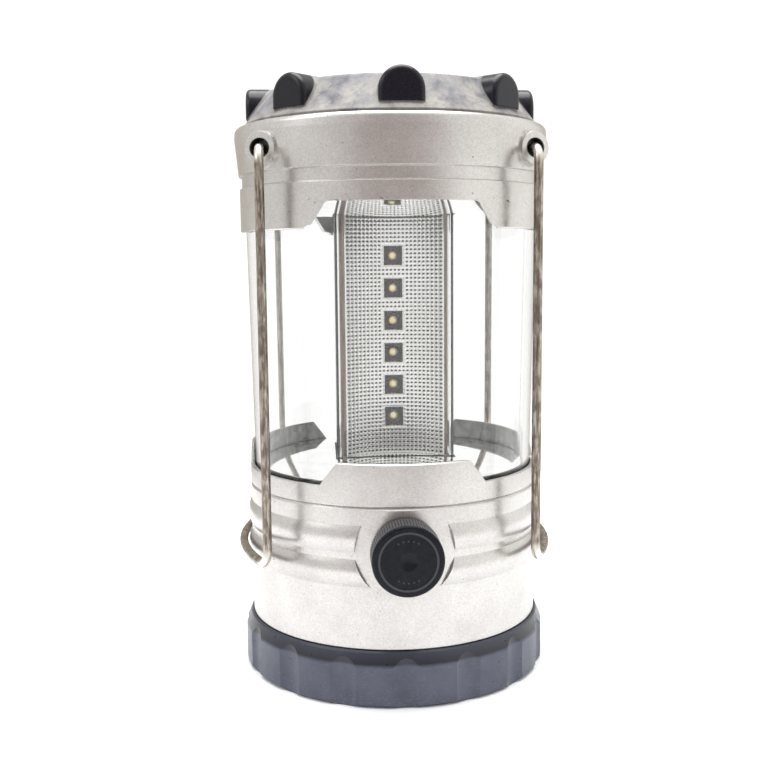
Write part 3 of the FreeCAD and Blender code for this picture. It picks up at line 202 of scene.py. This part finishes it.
def silver_paint():
    """Metallic paint with flakes painted as glints, chips, bare plastic inside, and painted shade in
    the holes of the bosses.
    """
    finish = Finish("silver_paint")
    base = finish.patches(0.06, (0.495, 0.48, 0.46), (0.575, 0.563, 0.542), detail=3.0)
    # Painted glints: the paint's flakes are painted as lighter and darker grains in its colour.
    flake = finish.grains(3.2)
    glint = finish.mix(finish.remap(flake, 0.0, 1.0), (0.34, 0.32, 0.31), (0.80, 0.77, 0.75))
    base = finish.mix(0.24, base, glint)
    chips = finish.math("GREATER_THAN", finish.noise(0.9, 2.0), 0.755)
    window_edge = finish.product(finish.remap(finish.z, WINDOW_TOP - 1.6, WINDOW_TOP - 0.4),
                                 finish.remap(finish.z, WINDOW_TOP + 0.6, WINDOW_TOP - 0.2))
    edge_chips = finish.product(window_edge, finish.remap(finish.noise(0.8, 4.0), 0.62, 0.68))
    worn = finish.math("MAXIMUM", chips, edge_chips)
    base = finish.mix(finish.product(worn, 0.85), base, (0.05, 0.045, 0.04))
    bore_limit = finish.remap(finish.z, GLOBE_BOTTOM, GLOBE_TOP, 45.0, 46.2)
    inside = finish.remap(finish.math("SUBTRACT", bore_limit, finish.radius()), -0.05, 0.05)
    bare = finish.patches(0.3, (0.13, 0.135, 0.126), (0.33, 0.332, 0.318), 0.38, 0.62, 5.0)
    base = finish.mix(inside, base, bare)
    across = finish.math("SUBTRACT", finish.math("ABSOLUTE", finish.x), HINGE_X)
    above = finish.math("SUBTRACT", finish.z, HINGE_Z)
    # Painted shade: the hinge hole in each boss is painted near-black.
    hole_shade = finish.remap(finish.distance(across, above), HINGE_HOLE + 0.1, HINGE_HOLE - 0.1)
    base = finish.mix(hole_shade, base, (0.012, 0.011, 0.010))
    finish.set("Base Color", base)
    dull = finish.math("MAXIMUM", inside, hole_shade)
    finish.set("Metallic", finish.remap(dull, 0.0, 1.0, 0.88, 0.15))
    finish.set("Roughness", finish.varied(0.35, 0.27, 0.36))
    finish.relief(finish.noise(3.0, 2.0), 0.016, 0.5, 0.3)
    return finish.material


def crown_plastic():
    """Slate plastic, dusty on the slope and wiped clean on the grip studs."""
    finish = Finish("black_plastic", IOR=1.5, Specular_IOR_Level=0.28)
    radius = finish.radius()
    slope = finish.math("ADD", finish.z, finish.math("MULTIPLY", radius, CROWN_SLOPE))
    stud = finish.remap(slope, STUD_START, STUD_START + 0.7)
    dusty = finish.remap(finish.noise(0.085, 6.0, rough=0.62), 0.43, 0.57)
    fine = finish.remap(finish.noise(0.9, 6.0), 0.30, 0.55, 0.55, 1.0)
    low = finish.remap(finish.z, CROWN_RIM, CROWN_RIM - 4.0)
    low_dust = finish.product(low, finish.remap(finish.noise(0.3, 4.0), 0.35, 0.6))
    dust = finish.math("MAXIMUM", finish.product(dusty, fine), finish.product(low_dust, 0.8))
    flat_top = finish.remap(radius, 37.0, 42.0, 0.45, 1.0)
    dust = finish.product(dust, finish.remap(stud, 0.0, 1.0, 1.0, 0.0), flat_top, 0.9)
    slate = finish.patches(0.25, (0.105, 0.103, 0.122), (0.22, 0.222, 0.238), 0.38, 0.62, 5.0)
    base = finish.mix(dust, slate, (0.37, 0.355, 0.325))
    specks = finish.remap(finish.noise(1.4, 3.0), 0.66, 0.72)
    base = finish.mix(finish.product(specks, 0.6), base, (0.48, 0.46, 0.43))
    clean = finish.patches(2.5, (0.003, 0.0032, 0.0065), (0.008, 0.0085, 0.016), 0.4, 0.7)
    base = finish.mix(stud, base, clean)
    finish.set("Base Color", base)
    worn = finish.varied(0.7, 0.40, 0.60)
    shine = finish.varied(0.7, 0.20, 0.28)
    finish.set("Roughness", finish.mix(stud, worn, shine))
    finish.relief(finish.noise(2.2, 6.0), 0.02, 0.5, 0.8)
    return finish.material


def cap_plastic():
    """Slate plastic, scuffed and dusty near the foot, with a dark glossy shoulder."""
    finish = Finish("slate_plastic", IOR=1.5, Specular_IOR_Level=0.42)
    radius = finish.radius()
    base = finish.patches(0.12, (0.055, 0.063, 0.092), (0.076, 0.085, 0.118))
    scuffs = finish.remap(finish.noise(0.8, 6.0, (1, 1, 3)), 0.56, 0.72)
    low = finish.remap(finish.z, 6.0, 0.4)
    dust = finish.product(scuffs, finish.math("ADD", finish.product(low, 0.5), 0.3))
    specks = finish.math("GREATER_THAN", finish.noise(1.2, 2.0), 0.77)
    base = finish.mix(dust, base, (0.17, 0.17, 0.18))
    base = finish.mix(finish.product(specks, 0.5), base, (0.4, 0.4, 0.4))
    shoulder = finish.product(finish.remap(finish.z, CAP_SHOULDER, CAP_SHOULDER + 0.8),
                              finish.remap(radius, 46.5, 48.2, 0.6, 1.0))
    base = finish.mix(shoulder, base, (0.006, 0.0065, 0.012))
    finish.set("Base Color", base)
    finish.set("Roughness", finish.varied(0.5, 0.27, 0.38))
    finish.relief(finish.noise(3.5, 4.0), 0.012, 0.5, 0.3)
    return finish.material


def knob_plastic():
    """Near-black plastic, with painted highlights on the knurl's ridges and on the face's raised ring
    and dots.
    """
    finish = Finish("knob_plastic", IOR=1.5, Specular_IOR_Level=0.16)
    base = finish.patches(0.4, (0.0035, 0.004, 0.0065), (0.008, 0.009, 0.013))
    dust = finish.remap(finish.noise(2.0, 6.0), 0.62, 0.80)
    base = finish.mix(finish.product(dust, 0.25), base, (0.2, 0.19, 0.17))
    # Painted highlight: the face's raised ring and dots are painted paler.
    raised_highlight = finish.remap(finish.y, KNOB_FACE - 0.04, KNOB_FACE - 0.14)
    base = finish.mix(raised_highlight, base, (0.048, 0.050, 0.056))
    from_axis = finish.distance(finish.x, finish.math("SUBTRACT", finish.z, KNOB_Z))
    # Painted highlight: the knurl's ridges are painted paler.
    ridge_highlight = finish.product(finish.remap(from_axis, KNOB_RIDGE - 0.1, KNOB_RIDGE + 0.1),
                           finish.remap(finish.y, KNOB_FACE + 0.6, KNOB_FACE + 1.0))
    base = finish.mix(finish.product(ridge_highlight, 0.8), base, (0.11, 0.112, 0.12))
    finish.set("Base Color", base)
    finish.set("Roughness", finish.varied(1.2, 0.26, 0.36))
    finish.relief(finish.noise(6.0, 3.0), 0.005, 0.5)
    return finish.material


def plain_plastic(name, dark, light, rough=0.45, per_mm=0.5):
    finish = Finish(name, IOR=1.5)
    finish.set("Base Color", finish.patches(per_mm, dark, light))
    finish.set("Roughness", finish.varied(per_mm * 3, rough - 0.06, rough + 0.08))
    finish.relief(finish.noise(per_mm * 8, 3.0), 0.01, 0.4)
    return finish.material


def metal(name, dark, light, rough=0.3, stretch=(1, 1, 1), per_mm=1.0):
    finish = Finish(name, Metallic=0.95)
    streaks = finish.remap(finish.noise(per_mm, 5.0, stretch), 0.35, 0.65)
    finish.set("Base Color", finish.mix(streaks, dark, light))
    finish.set("Roughness", finish.remap(streaks, 0.0, 1.0, rough + 0.12, rough - 0.05))
    finish.relief(finish.noise(per_mm * 4, 3.0, stretch), 0.006, 0.5)
    return finish.material


def handle_wire():
    """Nickel plating worn to brown-grey along the legs, with a painted highlight at the bends."""
    finish = Finish("wire_steel", Metallic=0.92)
    streaks = finish.remap(finish.noise(1.8, 6.0, (1, 1, 0.10)), 0.42, 0.62)
    blotches = finish.remap(finish.noise(0.55, 6.0, (1, 1, 0.5)), 0.44, 0.56)
    # Painted highlight: the low bends and the bends under the hinge are painted pale.
    low_bend = finish.product(finish.remap(finish.z, 45.5, 41.0),
                              finish.remap(finish.math("ABSOLUTE", finish.y), 31.5, 34.5))
    high_bend = finish.remap(finish.z, HINGE_Z - 5.0, HINGE_Z - 1.0)
    bright = finish.math("MAXIMUM", low_bend, high_bend)
    legs = finish.mix(streaks, (0.22, 0.185, 0.15), (0.50, 0.46, 0.40))
    legs = finish.mix(finish.product(blotches, 0.55), legs, (0.09, 0.065, 0.05))
    base = finish.mix(bright, legs, (0.78, 0.74, 0.68))
    finish.set("Base Color", base)
    finish.set("Roughness", finish.remap(bright, 0.0, 1.0, 0.38, 0.2))
    finish.relief(finish.noise(2.2, 5.0, (1, 1, 0.3)), 0.02, 0.6)
    return finish.material


def clear_plastic(name, tint, smear=0.02):
    """Clear plastic with smears, greener where it is seen edge on."""
    finish = Finish(name, IOR=1.49, Transmission_Weight=1.0)
    haze = finish.remap(finish.noise(0.08, 4.0, (1, 1, 0.4)), 0.45, 0.75)
    finish.set("Base Color", finish.mix(haze, tint, (0.955, 0.955, 0.945)))
    finish.set("Roughness", finish.remap(haze, 0.0, 1.0, 0.0, smear))
    absorber = finish.node("ShaderNodeVolumeAbsorption", {
        "Color": (0.62, 0.66, 0.64), "Density": 32.0})
    output = next(node for node in finish.tree.nodes if node.type == "OUTPUT_MATERIAL")
    finish.tree.links.new(absorber.outputs["Volume"], output.inputs["Volume"])
    return finish.material


def plated_mirror():
    """Bright plating with dull patches and a few pinholes."""
    finish = Finish("plated_mirror", Metallic=1.0)
    dull = finish.remap(finish.noise(0.2, 5.0), 0.45, 0.7)
    specks = finish.math("GREATER_THAN", finish.noise(1.3, 2.0), 0.74)
    base = finish.mix(dull, (0.93, 0.93, 0.925), (0.86, 0.86, 0.84))
    finish.set("Base Color", finish.mix(finish.product(specks, 0.6), base, (0.3, 0.28, 0.25)))
    finish.set("Roughness", finish.remap(dull, 0.0, 1.0, 0.04, 0.12))
    finish.relief(finish.noise(0.3, 2.0), 0.03, 0.3)
    return finish.material


def faceted_mirror():
    """Plating with painted shade in the grooves between the facets."""
    finish = Finish("faceted_mirror", Metallic=1.0)
    groove_shade = finish.node("ShaderNodeAttribute", {}, attribute_name="groove_shade").outputs["Fac"]
    bright = finish.patches(0.5, (0.93, 0.92, 0.90), (0.97, 0.965, 0.95))
    finish.set("Base Color", finish.mix(groove_shade, bright, (0.02, 0.016, 0.014)))
    finish.set("Roughness", finish.remap(groove_shade, 0.0, 1.0, 0.16, 0.4))
    return finish.material


def phenolic(name, dark, light):
    """Brown board with an upright grain."""
    finish = Finish(name, IOR=1.5)
    grain = finish.remap(finish.noise(1.2, 6.0, (1, 1, 0.05)), 0.35, 0.65)
    finish.set("Base Color", finish.mix(grain, dark, light))
    finish.set("Roughness", finish.remap(grain, 0.0, 1.0, 0.4, 0.5))
    finish.relief(grain, 0.02, 0.4)
    return finish.material


def phosphor():
    """The pale yellow phosphor of an LED chip, with a faint painted glow that brightens it."""
    finish = Finish("led_phosphor_glow", IOR=1.5, Roughness=0.5, Emission_Strength=0.75)
    tone = finish.patches(2.0, (0.90, 0.86, 0.60), (0.97, 0.95, 0.80))
    finish.set("Base Color", tone)
    finish.set("Emission Color", tone)
    return finish.material


FINISHES = {
    "silver_paint": silver_paint(),
    "black_plastic": crown_plastic(),
    "slate_plastic": cap_plastic(),
    "clear_plastic": clear_plastic("clear_plastic", (0.99, 0.992, 0.99)),
    "plated_mirror": plated_mirror(),
    "wire_steel": handle_wire(),
    "screw_steel": metal("screw_steel", (0.34, 0.34, 0.35), (0.62, 0.62, 0.63)),
    "board": phenolic("board", (0.13, 0.065, 0.045), (0.36, 0.21, 0.12)),
    "green_board": plain_plastic("green_board", (0.02, 0.14, 0.05), (0.03, 0.20, 0.08), 0.35),
    "led_lens": clear_plastic("led_lens", (0.80, 0.75, 0.66), 0.02),
    "seal_rubber": plain_plastic("seal_rubber", (0.02, 0.02, 0.02), (0.04, 0.04, 0.04), 0.6),
    "white_plastic": plain_plastic("white_plastic", (0.68, 0.68, 0.65), (0.78, 0.78, 0.75)),
    "cell_can": metal("cell_can", (0.50, 0.38, 0.18), (0.66, 0.53, 0.28), 0.3, (1, 1, 0.2)),
    "contact_metal": metal("contact_metal", (0.55, 0.44, 0.22), (0.74, 0.63, 0.36), 0.28),
    "dimmer_metal": metal("dimmer_metal", (0.45, 0.45, 0.45), (0.64, 0.64, 0.64), 0.32),
    "wire_sleeve": plain_plastic("wire_sleeve", (0.40, 0.03, 0.03), (0.50, 0.06, 0.05), 0.4),
    "chip_black": plain_plastic("chip_black", (0.015, 0.015, 0.016), (0.03, 0.03, 0.032), 0.5),
}
KNOB_FINISH = knob_plastic()
FACET_FINISH = faceted_mirror()
CHIP_FINISH = phosphor()
RAIL_FINISH = phenolic("rail", (0.20, 0.10, 0.065), (0.50, 0.36, 0.25))

slot_of = {part["node"]: part["material_slot"] for part in frame["record"]["subparts"]}
for name, node in NODES.items():
    node.data.materials.clear()
    node.data.materials.append(KNOB_FINISH if name == "knob" else FINISHES[slot_of[name]])

# ---------------------------------------------------------------- pieces made here


def add_piece(name, mesh, finish, body):
    piece = bpy.data.objects.new(name, mesh)
    scene.collection.objects.link(piece)
    mesh.materials.append(finish)
    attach(piece, body)
    return piece


# Sizes in millimetres, as in the CAD. The trough is hollow across x and straight along z.
TROUGH_HALF = 14.85
TROUGH_EDGE = 13.4
TROUGH_FLOOR = 7.5
TROUGH_DEEP = TROUGH_EDGE - TROUGH_FLOOR
TROUGH_CURVE = (TROUGH_HALF ** 2 + TROUGH_DEEP ** 2) / (2 * TROUGH_DEEP)
TROUGH_BOTTOM = 67.4
TROUGH_TOP = 145.4
TROUGH_WALL = 1.1
BOARD_FACE = 0.85
CHEEK = 0.3
CHEEK_EASE = 0.1
LED_FIRST = 79.2
LED_PITCH = 10.08
LED_COUNT = 6
LED_HEIGHTS = [LED_FIRST + index * LED_PITCH for index in range(LED_COUNT)]
WINDOW_HALF = 2.95

# A facet is a pillow between two grooves. The steps are shares of its width and of its height.
FACET_COLUMNS = 24
FACETS_PER_LED = 8
FACET_STEPS = (0.0, 0.14, 0.30, 0.70, 0.86)
FACET_SWELL = (0.0, 0.55, 1.0, 1.0, 0.55)
FACET_RISE = 0.13
SHORTEST_STEP = 0.05

# How much painted shade a facet's steps get, from 0 to 1, and the paler frame round each window,
# which gets less.
DASH_SHADE = (0.1, 0.1, 1.0, 1.0, 0.1)
ROW_SHADE = (1.0, 1.0, 0.05, 0.05, 1.0)
COLUMN_SHADE = 0.22
FRAME_HALF = 3.35
FRAME_SHADE = 0.25


def trough_depth(x):
    """How far the trough's hollow face is from the column's middle plane."""
    return TROUGH_FLOOR + TROUGH_CURVE - math.sqrt(TROUGH_CURVE ** 2 - x ** 2)


def near_led(z, reach):
    return any(abs(z - led) < reach for led in LED_HEIGHTS)


def add_prism(mesh, outline, low, high):
    """A closed prism over an outline of (x, y) points, from one height to another."""
    ends = [[mesh.verts.new((x * MM, y * MM, z * MM)) for x, y in outline] for z in (low, high)]
    mesh.faces.new(ends[0][::-1])
    mesh.faces.new(ends[1])
    for k in range(len(outline)):
        after = (k + 1) % len(outline)
        mesh.faces.new((ends[0][k], ends[0][after], ends[1][after], ends[1][k]))


def finish_mesh(mesh, name):
    bmesh.ops.recalc_face_normals(mesh, faces=mesh.faces)
    data = bpy.data.meshes.new(name)
    mesh.to_mesh(data)
    mesh.free()
    return data


def smooth_mesh(mesh, name, sharp_degrees):
    data = finish_mesh(mesh, name)
    data.shade_smooth()
    data.set_sharp_from_angle(angle=math.radians(sharp_degrees))
    return data


def facet_lines(start, end, pitch, phase):
    """Positions between start and end, with their step inside a facet. Both ends are kept."""
    lines = [(start, 0)]
    index = math.floor((start - phase) / pitch)
    while phase + index * pitch < end:
        for step, share in enumerate(FACET_STEPS):
            at = phase + (index + share) * pitch
            if start + SHORTEST_STEP < at < end - SHORTEST_STEP:
                lines.append((at, step))
        index += 1
    lines.append((end, 0))
    return lines


def make_faceted_trough(name, side):
    """The hollow mirror face with its pillow facets and LED windows, and the two cheeks behind it."""
    across = facet_lines(-TROUGH_HALF, TROUGH_HALF, 2 * TROUGH_HALF / FACET_COLUMNS, -TROUGH_HALF)
    facet_height = LED_PITCH / FACETS_PER_LED
    up = facet_lines(TROUGH_BOTTOM, TROUGH_TOP, facet_height, LED_FIRST + facet_height / 2)
    mesh = bmesh.new()
    groove_shade = mesh.verts.layers.float.new("groove_shade")
    grid = []
    for z, z_step in up:
        row = []
        for x, x_step in across:
            swell = FACET_SWELL[x_step] * FACET_SWELL[z_step] * FACET_RISE
            vertex = mesh.verts.new((x * MM, side * (trough_depth(x) + swell) * MM, z * MM))
            # Painted shade in the grooves, kept on each vertex for the faceted mirror.
            upright = COLUMN_SHADE if x_step == 0 else 0.0
            shade = max(DASH_SHADE[x_step] * ROW_SHADE[z_step], upright)
            framed = abs(x) < FRAME_HALF and near_led(z, FRAME_HALF)
            vertex[groove_shade] = FRAME_SHADE if framed else shade
            row.append(vertex)
        grid.append(row)
    for j in range(len(up) - 1):
        in_row = near_led((up[j][0] + up[j + 1][0]) / 2, WINDOW_HALF)
        for i in range(len(across) - 1):
            middle_x = (across[i][0] + across[i + 1][0]) / 2
            if in_row and abs(middle_x) < WINDOW_HALF:
                continue
            corners = [grid[j][i], grid[j][i + 1], grid[j + 1][i + 1], grid[j + 1][i]]
            mesh.faces.new(corners if side < 0 else corners[::-1])
    loose = [vertex for vertex in mesh.verts if not vertex.link_faces]
    bmesh.ops.delete(mesh, geom=loose, context="VERTS")
    bmesh.ops.solidify(mesh, geom=mesh.faces[:], thickness=TROUGH_WALL * MM)
    inner, outer = TROUGH_HALF, TROUGH_HALF + CHEEK
    for edge in (-1, 1):
        section = [(inner, BOARD_FACE), (outer, BOARD_FACE), (outer, TROUGH_EDGE - CHEEK_EASE),
                   (outer - CHEEK_EASE, TROUGH_EDGE), (inner, TROUGH_EDGE)]
        add_prism(mesh, [(edge * x, side * y) for x, y in section], TROUGH_BOTTOM, TROUGH_TOP)
    data = smooth_mesh(mesh, name, 50)
    piece = add_piece(name, data, FACET_FINISH, "lantern")
    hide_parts("reflector_front" if side < 0 else "reflector_rear")


make_faceted_trough("faceted_reflector_front", -1)
make_faceted_trough("faceted_reflector_rear", 1)

RAIL_INNER = 15.25
RAIL_OUTER = (16.9, 16.4)
RAIL_FRONT = 12.4
RAIL_BACK = 11.2
RAIL_EASE = 0.25


def make_rails():
    """The brown rails that hold the troughs' edges, seen through the sleeve beside the mirrors."""
    mesh = bmesh.new()
    for side in (-1, 1):
        for edge, outer in zip((-1, 1), RAIL_OUTER):
            section = [(RAIL_INNER, RAIL_BACK), (outer, RAIL_BACK), (outer, RAIL_FRONT - RAIL_EASE),
                       (outer - RAIL_EASE, RAIL_FRONT), (RAIL_INNER, RAIL_FRONT)]
            add_prism(mesh, [(edge * x, side * y) for x, y in section],
                      TROUGH_BOTTOM + 0.1, TROUGH_TOP - 0.3)
    data = finish_mesh(mesh, "column_rails")
    add_piece("column_rails", data, RAIL_FINISH, "lantern")


SILL_STEPS = 24
SILL_HALF = 14.6
SILL_FRONT = 13.5
SILL_GAP = 0.15


def make_sills():
    """The plated sill across the foot of each trough."""
    mesh = bmesh.new()
    for side in (-1, 1):
        outline = [(SILL_HALF, side * SILL_FRONT), (-SILL_HALF, side * SILL_FRONT)]
        for step in range(SILL_STEPS + 1):
            x = -SILL_HALF + 2 * SILL_HALF * step / SILL_STEPS
            outline.append((x, side * (trough_depth(x) + SILL_GAP)))
        add_prism(mesh, outline, TROUGH_BOTTOM - 0.2, TROUGH_BOTTOM + 0.15)
    data = finish_mesh(mesh, "column_sills")
    add_piece("column_sills", data, FINISHES["plated_mirror"], "lantern")


make_rails()
make_sills()

LED_CUP_Y = 4.3
CUP_SIDES = 20

# The cup's outline from the chip's seat to the end of the lead: its radius, and the way outwards.
CUP_SECTION = ((0.0, 0.35), (0.45, 0.35), (0.75, 0.8), (0.85, 0.8), (0.85, 0.0), (0.6, -0.5),
               (0.35, -0.6), (0.35, -3.3), (0.0, -3.3))
DOT_RADIUS = 0.48
DOT_OUT = 0.5
DOT_FLATNESS = 0.55


def make_led_cups(name, side):
    """The bright cup on its lead inside each lens, and the phosphor dot in a mesh of its own."""
    cups = bmesh.new()
    dots = bmesh.new()
    turns = [2 * math.pi * k / CUP_SIDES for k in range(CUP_SIDES)]
    for led in LED_HEIGHTS:
        rings = []
        for radius, along in CUP_SECTION:
            y = side * (LED_CUP_Y + along) * MM
            rings.append([cups.verts.new((radius * math.cos(turn) * MM, y,
                                          (led + radius * math.sin(turn)) * MM)) for turn in turns])
        for low, high in zip(rings, rings[1:]):
            for k in range(CUP_SIDES):
                after = (k + 1) % CUP_SIDES
                cups.faces.new((low[k], low[after], high[after], high[k]))
        dot = bmesh.ops.create_uvsphere(dots, u_segments=16, v_segments=8, radius=DOT_RADIUS * MM)
        spot = Matrix.Translation((0, side * (LED_CUP_Y + DOT_OUT) * MM, led * MM))
        flat = Matrix.Diagonal((1, DOT_FLATNESS, 1, 1))
        bmesh.ops.transform(dots, matrix=spot @ flat, verts=dot["verts"])
    bmesh.ops.remove_doubles(cups, verts=cups.verts, dist=0.001 * MM)
    add_piece(f"{name}_cups", smooth_mesh(cups, f"{name}_cups", 40),
              FINISHES["contact_metal"], "lantern")
    add_piece(f"{name}_phosphor", smooth_mesh(dots, f"{name}_phosphor", 40),
              CHIP_FINISH, "lantern")


make_led_cups("led_front", -1)
make_led_cups("led_rear", 1)

# ---------------------------------------------------------------- floor, light and world

FLOOR_RADIUS = 0.30
FLOOR_GAP = 0.0002

# What the lantern reflects: the two sides, the back, the pinkish room in front, and the backdrop.
LEFT_LIGHT = (0.98, 0.97, 0.95)
RIGHT_LIGHT = (1.36, 1.36, 1.33)
BACK_LIGHT = (0.60, 0.55, 0.48)
FRONT_ROOM = (0.53, 0.452, 0.444)
BACKDROP = (1.15, 1.15, 1.15)

# The lights: place and size in metres, and power in watts.
LIGHTS = (("overhead", (0.0, 0.12, 1.1), 1.0, 15), ("key_left", (-0.9, -0.3, 0.8), 0.6, 2.5))
LIGHT_AIM = (0, 0, 0.09)


def make_floor():
    """A round white table top."""
    mesh = bmesh.new()
    bmesh.ops.create_circle(mesh, cap_ends=True, radius=FLOOR_RADIUS, segments=128)
    bmesh.ops.translate(mesh, verts=mesh.verts, vec=(0, 0, -FLOOR_GAP))
    data = bpy.data.meshes.new("floor")
    mesh.to_mesh(data)
    mesh.free()
    floor = bpy.data.objects.new("floor", data)
    scene.collection.objects.link(floor)
    finish = Finish("floor_white", Roughness=0.8)
    finish.set("Base Color", finish.mix(finish.noise(0.01), (0.93, 0.94, 0.96),
                                        (0.95, 0.96, 0.985)))
    data.materials.append(finish.material)


def ramp(tree, value, low, high):
    """A smooth step from 0 at low to 1 at high."""
    made = tree.nodes.new("ShaderNodeMapRange")
    made.interpolation_type = "SMOOTHSTEP"
    made.inputs["From Min"].default_value = low
    made.inputs["From Max"].default_value = high
    tree.links.new(value, made.inputs["Value"])
    return made.outputs[0]


def world_mix(tree, share, *colours):
    """A mix of two colours, each a socket or three numbers."""
    made = tree.nodes.new("ShaderNodeMix")
    made.data_type = "RGBA"
    tree.links.new(share, made.inputs[0])
    sockets = [socket for socket in made.inputs if socket.type == "RGBA"]
    for socket, colour in zip(sockets, colours):
        if isinstance(colour, bpy.types.NodeSocket):
            tree.links.new(colour, socket)
        else:
            socket.default_value = (*colour, 1)
    return next(s for s in made.outputs if s.type == "RGBA")


def make_world():
    """A pale studio with a darker, warm room in front. The camera sees the white backdrop."""
    world = bpy.data.worlds.new("studio")
    scene.world = world
    world.use_nodes = True
    tree = world.node_tree
    tree.nodes.clear()
    link = tree.links.new
    output = tree.nodes.new("ShaderNodeOutputWorld")
    background = tree.nodes.new("ShaderNodeBackground")
    link(background.outputs[0], output.inputs[0])
    coordinates = tree.nodes.new("ShaderNodeTexCoord")
    parts = tree.nodes.new("ShaderNodeSeparateXYZ")
    link(coordinates.outputs["Generated"], parts.inputs[0])
    across, along = parts.outputs["X"], parts.outputs["Y"]
    sides = world_mix(tree, ramp(tree, across, -0.8, 0.8), LEFT_LIGHT, RIGHT_LIGHT)
    walls = world_mix(tree, ramp(tree, along, 0.45, 0.88), sides, BACK_LIGHT)
    room = world_mix(tree, ramp(tree, along, -0.62, -0.97), walls, FRONT_ROOM)
    seen = tree.nodes.new("ShaderNodeLightPath")
    direct = tree.nodes.new("ShaderNodeMath")
    direct.operation = "MAXIMUM"
    link(seen.outputs["Is Camera Ray"], direct.inputs[0])
    link(seen.outputs["Is Transmission Ray"], direct.inputs[1])
    link(world_mix(tree, direct.outputs[0], room, BACKDROP), background.inputs["Color"])


def make_light(name, place, size, power):
    data = bpy.data.lights.new(name, "AREA")
    data.shape = "DISK"
    data.size = size
    data.energy = power
    lamp = bpy.data.objects.new(name, data)
    scene.collection.objects.link(lamp)
    aim = Vector(LIGHT_AIM) - Vector(place)
    turn = aim.to_track_quat("-Z", "Y").to_matrix().to_4x4()
    lamp.matrix_world = Matrix.Translation(place) @ turn


make_floor()
make_world()
for light in LIGHTS:
    make_light(*light)

scene.view_settings.view_transform = "Standard"
